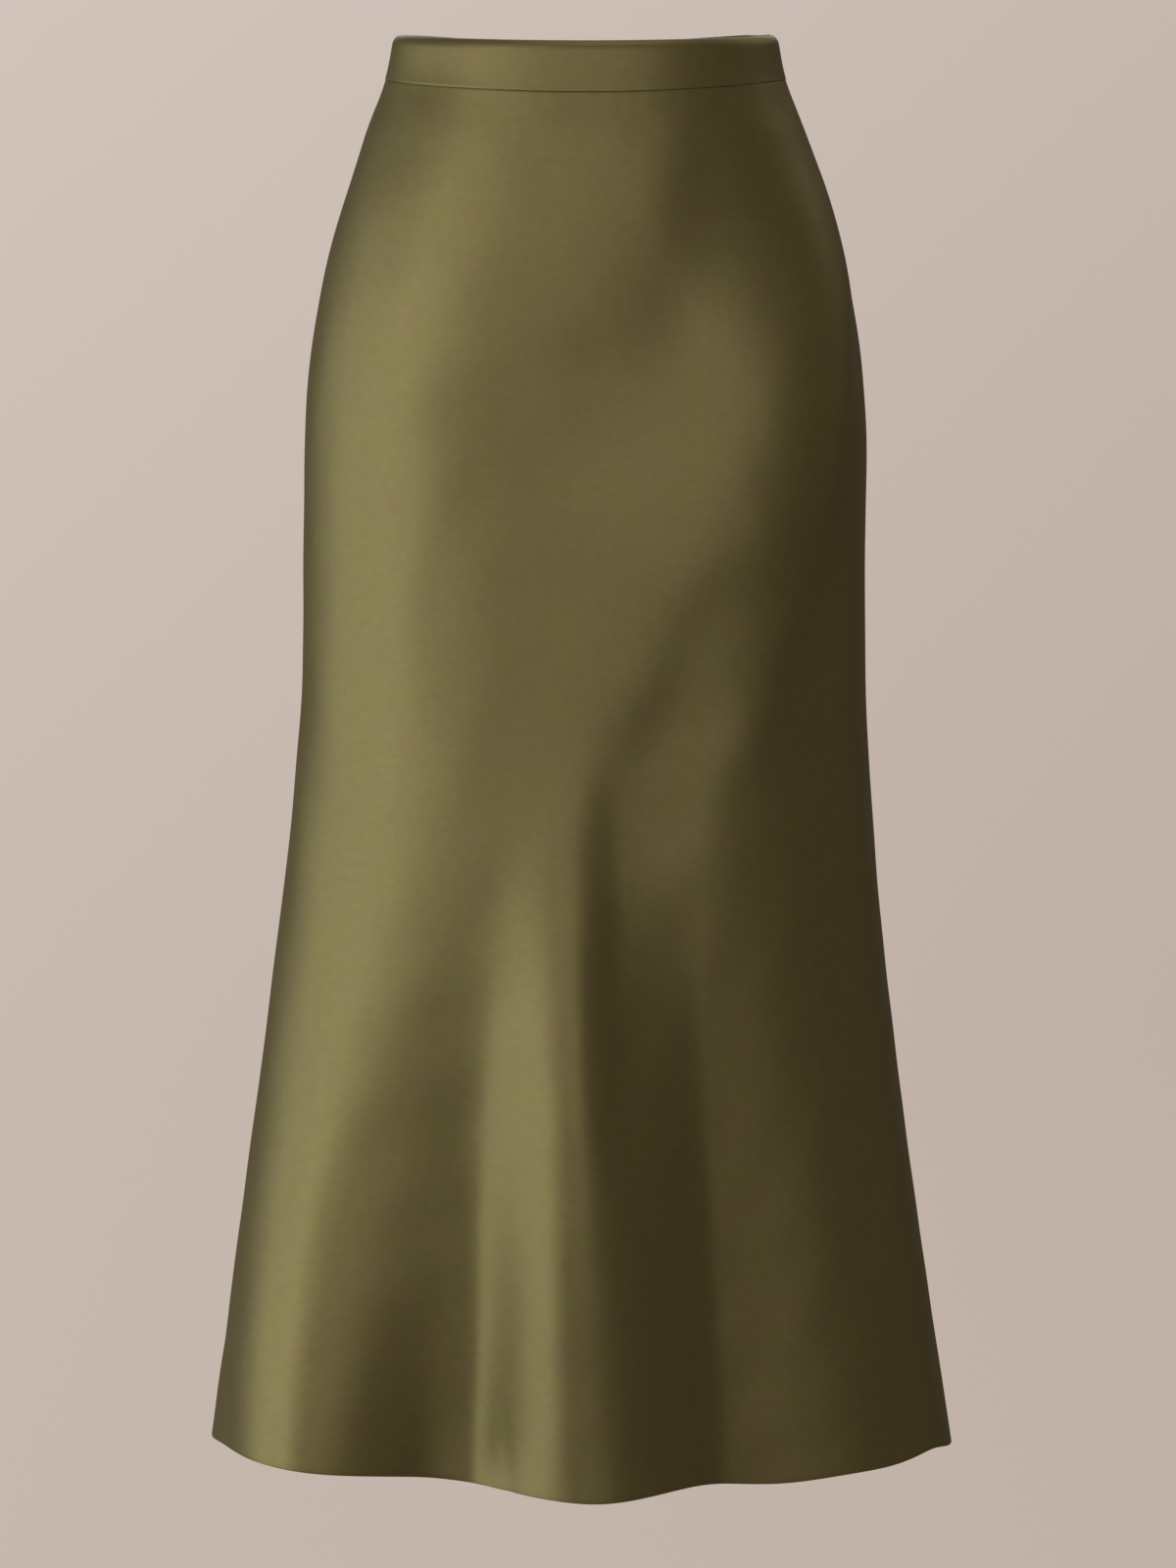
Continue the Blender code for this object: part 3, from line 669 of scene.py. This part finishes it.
def add_studio():
    """A round studio: a floor that sweeps up into the wall, in pale paper that glows, with a painted
    light falloff.
    """
    profile = [(0.0, FLOOR_LEVEL)]
    for bend in np.linspace(0.0, math.pi / 2, 17):
        radius = STUDIO_RADIUS - STUDIO_CURVE * (1 - math.sin(bend))
        profile.append((radius, FLOOR_LEVEL + STUDIO_CURVE * (1 - math.cos(bend))))
    profile += [(STUDIO_RADIUS, 6.0), (STUDIO_RADIUS - 1.5, 9.0), (0.0, 10.0)]
    points = []
    for radius, level in profile:
        for turn in np.linspace(0.0, 2 * math.pi, STUDIO_SIDES, endpoint=False):
            points.append((radius * math.cos(turn), radius * math.sin(turn), level))
    faces = ring_faces(len(profile), STUDIO_SIDES)[:, ::-1]
    studio = add_mesh("studio", points, faces.tolist())
    # only the camera sees the paper, which neither lights nor shades the skirt
    for ray in ("visible_diffuse", "visible_glossy", "visible_transmission", "visible_shadow"):
        setattr(studio, ray, False)
    material = bpy.data.materials.new("studio_paper_painted_light")
    material.use_nodes = True
    tree = material.node_tree
    tree.nodes.clear()
    spot = add_node(tree, "ShaderNodeTexCoord").outputs["Object"]
    split = add_node(tree, "ShaderNodeSeparateXYZ", {"Vector": spot})
    # painted light falloff: the paper's glow is brightest at the upper left of the camera's view,
    # where the key light would fall, and darker towards the lower right
    side = add_node(tree, "ShaderNodeMath", {0: split.outputs["X"], 1: -0.9}, operation="MULTIPLY")
    total = add_node(tree, "ShaderNodeMath", {0: side, 1: split.outputs["Z"]}, operation="ADD")
    inputs = {"Value": total, "From Min": -3.4, "From Max": 1.6}
    painted_falloff = add_node(tree, "ShaderNodeMapRange", inputs)
    inputs = {0: painted_falloff, 6: srgb("b9a89e"), 7: srgb("d4c7be")}
    colour = add_node(tree, "ShaderNodeMix", inputs, data_type="RGBA")
    glow = add_node(tree, "ShaderNodeEmission", {"Color": colour, "Strength": 1.0})
    add_node(tree, "ShaderNodeOutputMaterial", {"Surface": glow})
    studio.data.materials.append(material)


def add_world():
    world = bpy.data.worlds.new("world")
    world.use_nodes = True
    tree = world.node_tree
    set_inputs(tree, tree.nodes["Background"], {"Color": srgb("bcada0"), "Strength": 0.16})
    bpy.context.scene.world = world


def add_lights():
    add_softbox("key_light", -74, -4, 2.8, 2.9, 2.9, 31, "f2f9ff")
    add_softbox("left_light", -40, 20, 5.5, 3.4, 4.8, 47, "fdffff")
    add_softbox("rim_light", -112, 2, 3.0, 1.4, 2.4, 5, "f2f9ff")
    add_softbox("front_light", 5, 14, 5.5, 4.2, 3.8, 35, "fffcfd")
    add_softbox("right_fill", 95, 5, 3.5, 3.0, 3.0, 1.1, "fff7dd")
    # these three show the other sides and the inside, and hardly reach the front
    add_softbox("back_light", 180, 32, 5.5, 4.2, 3.4, 48, "ffffff")
    add_softbox("side_light", 125, 40, 5.5, 3.4, 3.4, 16, "ffffff")
    add_softbox("top_light", 20, 75, 4.5, 2.6, 2.6, 14, "ffffff")


# ---- Pieces ----
# the columns and rows of the grids, and about how wide the pieces are
PANEL_COLUMNS, PANEL_ROWS, PANEL_WIDTH = 196, 226, 0.65
BAND_COLUMNS, BAND_ROWS, BAND_WIDTH = 180, 14, 0.35


def make_panel(side, face, back):
    """One panel of the skirt, with its hem turned up inside."""
    edges = (0.25, 0.6, 1.1, 2.0)
    # two rows lie at the end of the turned-up hem
    hem_rows = (0.03, 0.12, 0.3, 0.55, 4, 8, HEM_WIDTH / MM, HEM_WIDTH / MM + 0.2)
    shares = spaced(PANEL_COLUMNS, PANEL_WIDTH, edges, edges)
    rises = spaced(PANEL_ROWS, SKIRT_LENGTH - BAND_HEIGHT, hem_rows, edges)
    share, rise = np.meshgrid(shares, rises)
    top = seam_drop(side, share) + SEAM_SPARE
    hem = hem_drop(side, share)
    drop = hem + (top - hem) * rise
    across = across_of(side, share, drop)
    to_side = WRAPS[side.name].width(drop) / 2 - np.abs(across)
    to_top = drop - top
    to_hem = hem - drop
    ripples = smooth_step(to_side / RIPPLE_FADE) * smooth_step(to_top / RIPPLE_FADE)
    ripples = ripples * unevenness(across, drop)
    lift = pucker(across, to_top) + pucker(drop, to_side) + ripples
    surface = cloth_points(side, share, drop, lift)
    turned_in = seam_roll(to_side) + seam_roll(to_top)
    in_hem = to_hem < HEM_WIDTH + 0.1 * MM
    fold = rounded(to_hem, HEM_THICKNESS / 2 - RIM_CORE)
    outer_depth = turned_in + fold
    inner_depth = turned_in + np.where(in_hem, HEM_THICKNESS - fold, CLOTH)
    # the hem's turned-up side shows the face of the satin again
    slots = np.where(in_hem[:, 0], 0, 1)
    shell = (surface, outer_depth, inner_depth, across, drop)
    return closed_shell(side.name + "_cloth", *shell, (face, back), slots)


def make_waistband(side, face):
    """One half of the waistband: satin folded over at the top edge round a stiffener."""
    edges = (0.15, 0.4, 0.8, 1.3, 2.2)
    top_rows = (0.03, 0.12, 0.3, 0.6, 0.9, 1.2)
    shares = spaced(BAND_COLUMNS, BAND_WIDTH, edges, edges)
    rises = spaced(BAND_ROWS, BAND_HEIGHT, edges, top_rows)
    share, rise = np.meshgrid(shares, rises)
    bottom = seam_drop(side, share) - SEAM_SPARE
    drop = bottom + (dip(side.top_dip, share) - bottom) * rise
    width = WRAPS[side.name].width(drop)
    gap_right, gap_left = BAND_END_GAPS
    start = gap_right if side.is_front else gap_left
    share = (start + share * (width - gap_right - gap_left)) / width
    across = across_of(side, share, drop)
    to_right = across + width / 2 - gap_right
    to_left = width / 2 - gap_left - across
    to_top = drop - dip(side.top_dip, share)
    to_bottom = bottom - drop
    # its top edge leans in, rounded by the turned cloth
    lean = TOP_LEAN * np.clip(1 - to_top / TOP_LEAN_HEIGHT, 0.0, 1.0) ** 2.4
    lean = lean * smooth_step(to_left / TOP_LEAN_FADE)
    lift = BAND_PROUD + BAND_PUCKER * pucker(across, to_bottom) - lean
    surface = cloth_points(side, share, drop, lift)
    outer_depth = rounded(to_top, BAND_CLOTH / 2 - RIM_CORE) + seam_roll(to_bottom)
    inner_depth = BAND_CLOTH - outer_depth
    zip_end = rounded(to_left, 0.7 * MM)
    outer_depth = outer_depth + seam_roll(to_right) + zip_end
    inner_depth = inner_depth - zip_end
    name = "waistband_" + side.name + "_cloth"
    return closed_shell(name, surface, outer_depth, inner_depth, across, drop, (face,))


# ---- Inside the seams: allowances, hem stitches and the zip ----
def outward_normals(side, share, drop):
    """Unit normals of the skirt's outer face."""
    step = 0.5 * MM
    sideways = step / WRAPS[side.name].width(drop)
    across = cloth_points(side, share + sideways, drop) - cloth_points(side, share - sideways, drop)
    up = cloth_points(side, share, drop - step) - cloth_points(side, share, drop + step)
    normals = np.cross(across, up)
    return normals / np.linalg.norm(normals, axis=-1, keepdims=True)


def behind_face(side, share, drop, depth):
    """Points at a depth behind the skirt's outer face."""
    inward = -outward_normals(side, share, drop)
    return cloth_points(side, share, drop) + inward * np.asarray(depth)[..., None]


def beside_seam(side, at_left, distance, drop, depth):
    """Points inside a panel, at a distance along the cloth from one of its side seams."""
    share = distance / WRAPS[side.name].width(drop)
    if side.is_front == at_left:
        share = 1 - share
    return behind_face(side, share, drop, depth)


def allowance_depth(distance):
    """How far behind the outer face a pressed seam allowance starts, more so at its fold."""
    return CLOTH + 0.06 * MM + ALLOWANCE_CLEAR + 0.36 * MM * np.exp(-distance / (1.2 * MM))


def make_allowance(side, at_left, back):
    """The strip of satin inside a side seam, pressed flat against its panel."""
    start, end = BAND_HEIGHT + 1.0 * MM, SKIRT_LENGTH - HEM_WIDTH - 0.8 * MM
    shares = spaced(7, ALLOWANCE_WIDTH, (0.3, 0.8), (0.1, 0.4))
    share, rise = np.meshgrid(shares, np.linspace(0.0, 1.0, 241))
    drop = end + (start - end) * rise
    if side.is_front == at_left:
        share = 1 - share
    distance = ALLOWANCE_START + share * (ALLOWANCE_WIDTH - ALLOWANCE_START)
    ripple = 0.05 * MM * np.sin(drop / (6.5 * MM)) * distance / ALLOWANCE_WIDTH
    surface = beside_seam(side, at_left, distance, drop, allowance_depth(distance) + ripple)
    rim = rounded(ALLOWANCE_WIDTH - distance, CLOTH / 2 - RIM_CORE)
    name = f"allowance_{side.name}_{'left' if at_left else 'right'}"
    return closed_shell(name, surface, rim, CLOTH - rim, distance, drop, (back,))


def make_overlock(side, at_left, thread):
    """The overlock stitch over an allowance's free edge: loops of thread, and a row inside."""
    start, end = 32 * MM, SKIRT_LENGTH - HEM_WIDTH - 2 * MM
    stitches = int((end - start) / OVERLOCK_STEP)
    step = np.arange(stitches * 4 + 1)
    drop = start + (end - start) * step / step[-1]
    # a loop's four places in from the free edge, and their levels over the cloth's inner side
    places = np.array([3.8, 0.6, -0.25, 0.6])[step % 4] * MM
    levels = np.array([0.12, 0.10, -0.22, -0.62])[step % 4] * MM
    under = allowance_depth(ALLOWANCE_WIDTH - OVERLOCK_WIDTH) + CLOTH
    loops = beside_seam(side, at_left, ALLOWANCE_WIDTH - places, drop, under + levels)
    row = np.arange(start, end, OVERLOCK_STEP / 2)
    inner = ALLOWANCE_WIDTH - 3.9 * MM
    level = allowance_depth(inner) + CLOTH + np.where(np.arange(len(row)) % 2, 0.14, 0.02) * MM
    needle = beside_seam(side, at_left, inner, row, level)
    parts = [tube_parts(path, OVERLOCK_THREAD, 4) for path in (loops, needle)]
    return mesh_of_parts(f"overlock_{side.name}_{'left' if at_left else 'right'}", parts, thread)


def make_hem_stitches(side, thread):
    """The slip stitches that hold the hem's upper edge to the panel, inside."""
    length = WRAPS[side.name].width(SKIRT_LENGTH)
    count = int((length - 2 * SLIP_STITCH_INSET) / SLIP_STITCH_STEP)
    share = (SLIP_STITCH_INSET + SLIP_STITCH_STEP * np.arange(count)) / length
    top = hem_drop(side, share) - HEM_WIDTH
    slant = 1.3 * MM / length
    starts = behind_face(side, share, top + 0.7 * MM, HEM_THICKNESS + 0.02 * MM)
    ends = behind_face(side, share + slant, top - 0.5 * MM, CLOTH + 0.02 * MM)
    bows = -outward_normals(side, share, top) * 0.10 * MM
    return mesh_of_parts(f"hem_stitches_{side.name}", stitch_parts(starts, ends, bows), thread)


def tape_depth(drop):
    """The tapes' depth, which eases from its value behind the band to that behind the panels."""
    return np.interp(drop, (29.5 * MM, 40.4 * MM), (TAPE_BEHIND_BAND, TAPE_BEHIND_PANEL))


def seam_path(along, drop, depth):
    """Points behind the wearer's left seam."""
    return left_seam_points(along, drop) - left_seam_frame(along, drop)[0] * depth[..., None]


def make_zip_tape(name, towards, weave):
    """One tape of the zip, from coil to selvedge, its top end folded over behind the band."""
    edges = (0.3, 0.8)
    shares = spaced(14, TAPE_REACH, edges, edges)
    rises = spaced(130, 0.21, edges, edges)
    share, rise = np.meshgrid(shares, rises)
    drop = ZIP_END + (ZIP_START - ZIP_END) * rise
    coil_edge = np.interp(drop, (14 * MM, 18 * MM), (1.2 * MM, 0.3 * MM))
    start = coil_edge if towards > 0 else -TAPE_REACH
    along = start + share * (TAPE_REACH - coil_edge)
    surface = seam_path(along, drop, tape_depth(drop))
    layers = np.interp(drop, (TAPE_FOLD_END, TAPE_FOLD_END + 0.5 * MM), (TAPE_FOLDED, TAPE))
    rim = rounded(TAPE_REACH - np.abs(along), TAPE / 2 - RIM_CORE)
    return closed_shell(name, surface, rim, layers - rim, along, drop, (weave,))


def make_zip_coil(name, towards, nylon):
    """One half of the coil: nylon wound in flat loops that hook into the other half's."""
    loops = int((COIL_END - COIL_START) / COIL_PITCH)
    turn = np.linspace(0.0, 2 * math.pi * loops, loops * 9 + 1)
    offset = 0.0 if towards > 0 else COIL_PITCH / 2
    drop = COIL_START + offset + COIL_PITCH * turn / (2 * math.pi)
    along = towards * (COIL_MIDDLE + COIL_HALF_WIDTH * np.cos(turn))
    depth = tape_depth(drop) + TAPE + COIL_THREAD + COIL_HALF_DEPTH * (1 + np.sin(turn))
    return mesh_of_parts(name, [tube_parts(seam_path(along, drop, depth), COIL_THREAD, 5)], nylon)


def make_tape_stitches(name, towards, thread):
    """The row of machine stitches that holds a tape to the seam allowance, seen inside."""
    drop = np.arange(34 * MM, ZIP_END - 4 * MM, STITCH_LENGTH)
    along = np.full(drop.shape, towards * TAPE_SEWN_AT)
    inward = -left_seam_frame(along, drop)[0]
    starts = seam_path(along, drop + 0.12 * STITCH_LENGTH, tape_depth(drop) + TAPE)
    ends = seam_path(along, drop + 0.88 * STITCH_LENGTH, tape_depth(drop) + TAPE)
    return mesh_of_parts(name, stitch_parts(starts, ends, inward * 0.12 * MM), thread)


def frame_at(origin, x_axis, y_axis, z_axis):
    place = Matrix((x_axis, y_axis, z_axis)).transposed().to_4x4()
    place.translation = origin
    return place


def zip_place(drop):
    """The slider's frame: its origin on the hinge line, X outwards, Y backwards, Z up the cloth."""
    outward, backward, up = (Vector(axis) for axis in left_seam_frame(0.0, drop))
    origin = Vector(left_seam_points(0.0, drop)) + outward * (BAND_PROUD + PIVOT_OUT)
    return frame_at(origin, outward, backward, up)


def pull_place():
    """The resting pull tab's frame: X across it, Y up to the hinge, Z outwards."""
    place = zip_place(PIVOT_DROP)
    low = BAND_HEIGHT - 0.001
    rest_out = BAND_PROUD + PULL_CLEAR + PULL_THICK / 2
    lower = Vector(left_seam_points(0.0, low)) + Vector(left_seam_frame(0.0, low)[0]) * rest_out
    up = (place.translation - lower).normalized()
    outward = place.col[1].to_3d().cross(up).normalized()
    return frame_at(place.translation, up.cross(outward), up, outward)


# ---- Hard pieces of the zip, modelled in the slider's and the pull tab's own frames ----
def select_only(piece):
    bpy.ops.object.select_all(action="DESELECT")
    piece.select_set(True)
    bpy.context.view_layer.objects.active = piece


def start_editing(piece):
    select_only(piece)
    bpy.ops.object.mode_set(mode="EDIT")
    bpy.ops.mesh.select_all(action="DESELECT")


def choose(piece, kind, test):
    """Selects the faces, edges or vertices that a test picks, in edit mode."""
    bpy.ops.mesh.select_mode(type=kind)
    bpy.ops.mesh.select_all(action="DESELECT")
    form = bmesh.from_edit_mesh(piece.data)
    for part in {"FACE": form.faces, "EDGE": form.edges, "VERT": form.verts}[kind]:
        part.select_set(test(part))
    form.select_flush_mode()
    bmesh.update_edit_mesh(piece.data)


def stop_editing():
    bpy.ops.mesh.select_all(action="SELECT")
    bpy.ops.mesh.normals_make_consistent(inside=False)
    bpy.ops.object.mode_set(mode="OBJECT")


def apply_modifier(piece, kind, **settings):
    modifier = piece.modifiers.new(kind.lower(), kind)
    for name, value in settings.items():
        setattr(modifier, name, value)
    select_only(piece)
    bpy.ops.object.modifier_apply(modifier=modifier.name)


def combine(piece, tool, operation):
    """Joins a tool to a piece or cuts it away, and removes the tool."""
    apply_modifier(piece, "BOOLEAN", object=tool, operation=operation, solver="EXACT")
    bpy.data.objects.remove(tool)


def take_new(name):
    """The piece just added, named, with its size and place kept in its mesh."""
    bpy.ops.object.transform_apply(location=True, rotation=True, scale=True)
    bpy.context.object.name = name
    return bpy.context.object


def add_box(name, size, centre, rounding):
    """A block at its size and place, with its edges rounded."""
    bpy.ops.mesh.primitive_cube_add(size=1, location=centre, scale=size)
    box = take_new(name)
    if rounding:
        start_editing(box)
        bpy.ops.mesh.select_all(action="SELECT")
        bpy.ops.mesh.bevel(offset=rounding, segments=2, affect="EDGES")
        stop_editing()
    return box


def add_pin(name, radius, length, centre, sides):
    """A round pin across the zip."""
    bpy.ops.mesh.primitive_cylinder_add(
        vertices=sides, radius=radius, depth=length, location=centre, rotation=(math.pi / 2, 0.0, 0.0)
    )
    return take_new(name)


def add_tongue(name, tip_radius, tip_end, top_half_width, top_end, thickness, level):
    """A flat tongue with a round tip below and a rounded, narrower top, extruded from a circle."""
    middle = tip_end + tip_radius
    bpy.ops.mesh.primitive_circle_add(
        vertices=48, radius=tip_radius, fill_type="NGON", location=(0, middle, level - thickness / 2)
    )
    tongue = take_new(name)
    start_editing(tongue)
    choose(tongue, "VERT", lambda vertex: vertex.co.y > middle + 1e-6)
    flatter = 0.36
    pivot = (0.0, middle, level)
    bpy.ops.transform.resize(value=(top_half_width / tip_radius, flatter, 1.0), center_override=pivot)
    rise = top_end - middle - flatter * tip_radius
    bpy.ops.transform.translate(value=(0.0, rise, 0.0))
    bpy.ops.mesh.select_all(action="SELECT")
    bpy.ops.mesh.extrude_region_move(TRANSFORM_OT_translate={"value": (0.0, 0.0, thickness)})
    stop_editing()
    return tongue


def put_in_place(piece, place, enamel):
    """Moves a finished form to its place, with the place in its mesh."""
    piece.data.name = piece.name
    piece.data.transform(place)
    piece.data.materials.clear()
    piece.data.materials.append(enamel)
    select_only(piece)
    bpy.ops.object.shade_smooth_by_angle(angle=math.radians(40))
    return piece


def runs_out_above(edge, height):
    """Whether an edge lies above a height and runs outwards, not across the zip."""
    first, second = (vertex.co for vertex in edge.verts)
    return min(first.z, second.z) > height and abs(first.y - second.y) < 0.1 * MM


def make_slider(enamel):
    """The slider inside the tapes: a tapered body, and the neck and eye for the pull tab."""
    middle = SLIDER_FACE - SLIDER_DEEP / 2
    centre = (middle, 0.0, -SLIDER_BELOW)
    body = add_box("zip_slider_body", (SLIDER_DEEP, SLIDER_WIDE, SLIDER_LONG), centre, 0)
    low, high = -SLIDER_BELOW - SLIDER_LONG / 2, -SLIDER_BELOW + SLIDER_LONG / 2
    start_editing(body)
    choose(body, "VERT", lambda vertex: vertex.co.z < low + 0.1 * MM)
    bpy.ops.transform.resize(value=(1.0, 0.66, 1.0), center_override=(middle, 0.0, low))
    choose(body, "EDGE", lambda edge: runs_out_above(edge, high - 0.1 * MM))
    bpy.ops.mesh.bevel(offset=1.6 * MM, segments=5, affect="EDGES")
    choose(body, "FACE", lambda face: abs(face.normal.y) > 0.8)
    bpy.ops.mesh.inset(thickness=0.55 * MM, depth=-0.45 * MM)
    choose(body, "FACE", lambda face: face.normal.x < -0.9)
    bpy.ops.mesh.inset(thickness=0.75 * MM, depth=-0.3 * MM)
    stop_editing()
    rounding = {"width": 0.22 * MM, "segments": 3, "angle_limit": math.radians(35)}
    apply_modifier(body, "BEVEL", limit_method="ANGLE", **rounding)
    neck_deep = 0.3 * MM - SLIDER_FACE
    neck = add_box("neck", (neck_deep, NECK_THICK, NECK_TALL), (-neck_deep / 2, 0.0, 0.0), 0.2 * MM)
    eye = add_pin("eye", EYE_RADIUS, NECK_THICK, (0.0, 0.0, 0.0), 40)
    apply_modifier(eye, "BEVEL", limit_method="ANGLE", **rounding)
    combine(neck, eye, "UNION")
    hole = add_pin("hole", EYE_HOLE, 3 * NECK_THICK, (0.0, 0.0, 0.0), 32)
    combine(neck, hole, "DIFFERENCE")
    combine(body, neck, "UNION")
    return put_in_place(body, zip_place(PIVOT_DROP), enamel)


def make_pull(enamel):
    """The pull tab: a die-cast tongue with a window for the eye and a shallow thumb hollow."""
    top = PULL_THICK / 2
    sizes = (PULL_WIDTH / 2, -PULL_LENGTH, PULL_NECK_WIDTH / 2, top, PULL_THICK)
    pull = add_tongue("zip_pull_tab", *sizes, 0.0)
    sizes = (1.75 * MM, -PULL_LENGTH + 1.15 * MM, 1.35 * MM, -5.2 * MM, 0.28 * MM)
    for face in (-1, 1):
        level = face * (PULL_THICK / 2 + 0.04 * MM)
        combine(pull, add_tongue("hollow", *sizes, level), "DIFFERENCE")
    window_high = PULL_WINDOW[1] - top
    centre = (0.0, -top - window_high / 2, 0.0)
    window = add_box("window", (PULL_WINDOW[0], window_high, 4 * PULL_THICK), centre, 0)
    start_editing(window)
    choose(window, "EDGE", lambda edge: abs(edge.verts[0].co.z - edge.verts[1].co.z) > PULL_THICK)
    bpy.ops.mesh.bevel(offset=0.45 * MM, segments=4, affect="EDGES")
    stop_editing()
    combine(pull, window, "DIFFERENCE")
    apply_modifier(
        pull, "BEVEL", width=0.11 * MM, segments=2, limit_method="ANGLE", angle_limit=math.radians(40)
    )
    return put_in_place(pull, pull_place(), enamel)


def make_bottom_stop(enamel):
    """The crimped stop at the coil's lower end."""
    place = zip_place(COIL_END + 1.2 * MM)
    depth = BAND_PROUD + PIVOT_OUT + TAPE_BEHIND_PANEL + TAPE + 0.75 * MM
    stop = add_box("zip_bottom_stop", (1.9 * MM, 5.2 * MM, 3.2 * MM), (-depth, 0.0, 0.0), 0.4 * MM)
    return put_in_place(stop, place, enamel)


def main():
    add_camera()
    add_world()
    add_lights()
    add_studio()
    bpy.context.scene.view_settings.view_transform = "Standard"
    satin_face = make_satin("polyester_satin_face", "948a55", "97875a", 0.42, 0.65, 0.3)
    satin_back = make_satin("polyester_satin_back", "7d7448", "7f7149", 0.62, 0.1, 0.3)
    weave = make_zip_weave()
    # spun sewing thread: a soft dull line
    thread = make_grained("spun_polyester_thread", "8b8054", "7a7048", 0.6, 0.3, 0.6 * MM, 0.05 * MM)
    # drawn nylon: smooth, a little waxy
    nylon = make_grained("drawn_nylon_coil", "675c3e", "5b5136", 0.42, 0.5, 2.0 * MM, 0.02 * MM)
    # die-cast zinc under semi-gloss enamel: rounded highlights with a faint orange peel
    enamel = make_grained("enamelled_zinc", "675d3f", "5f5639", 0.33, 0.5, 0.9 * MM, 0.012 * MM)
    for side in (FRONT, BACK):
        panel = make_panel(side, satin_face, satin_back)
        finish_piece(panel, "skirt", "satin", side.name + "_panel")
        inside = [make_hem_stitches(side, thread)]
        for at_left in (True, False):
            inside += [make_allowance(side, at_left, satin_back), make_overlock(side, at_left, thread)]
        for piece in inside:
            finish_piece(piece, "skirt", "satin")
        band = make_waistband(side, satin_face)
        finish_piece(band, "skirt", "satin", "waistband_" + side.name)
    for name, towards in (("front", -1), ("back", 1)):
        tape = make_zip_tape("zip_tape_" + name, towards, weave)
        finish_piece(tape, "skirt", "zip_tape", "zip_tape")
        coil = finish_piece(make_zip_coil("zip_coil_" + name, towards, nylon), "skirt", "zip_tape")
        stitches = make_tape_stitches("zip_stitches_" + name, towards, thread)
        finish_piece(stitches, "skirt", "zip_tape")
    finish_piece(make_slider(enamel), "skirt", "zip_slider", "zip_slider")
    finish_piece(make_bottom_stop(enamel), "skirt", "zip_slider")
    finish_piece(make_pull(enamel), "zip_tab", "zip_slider", "zip_pull")


main()
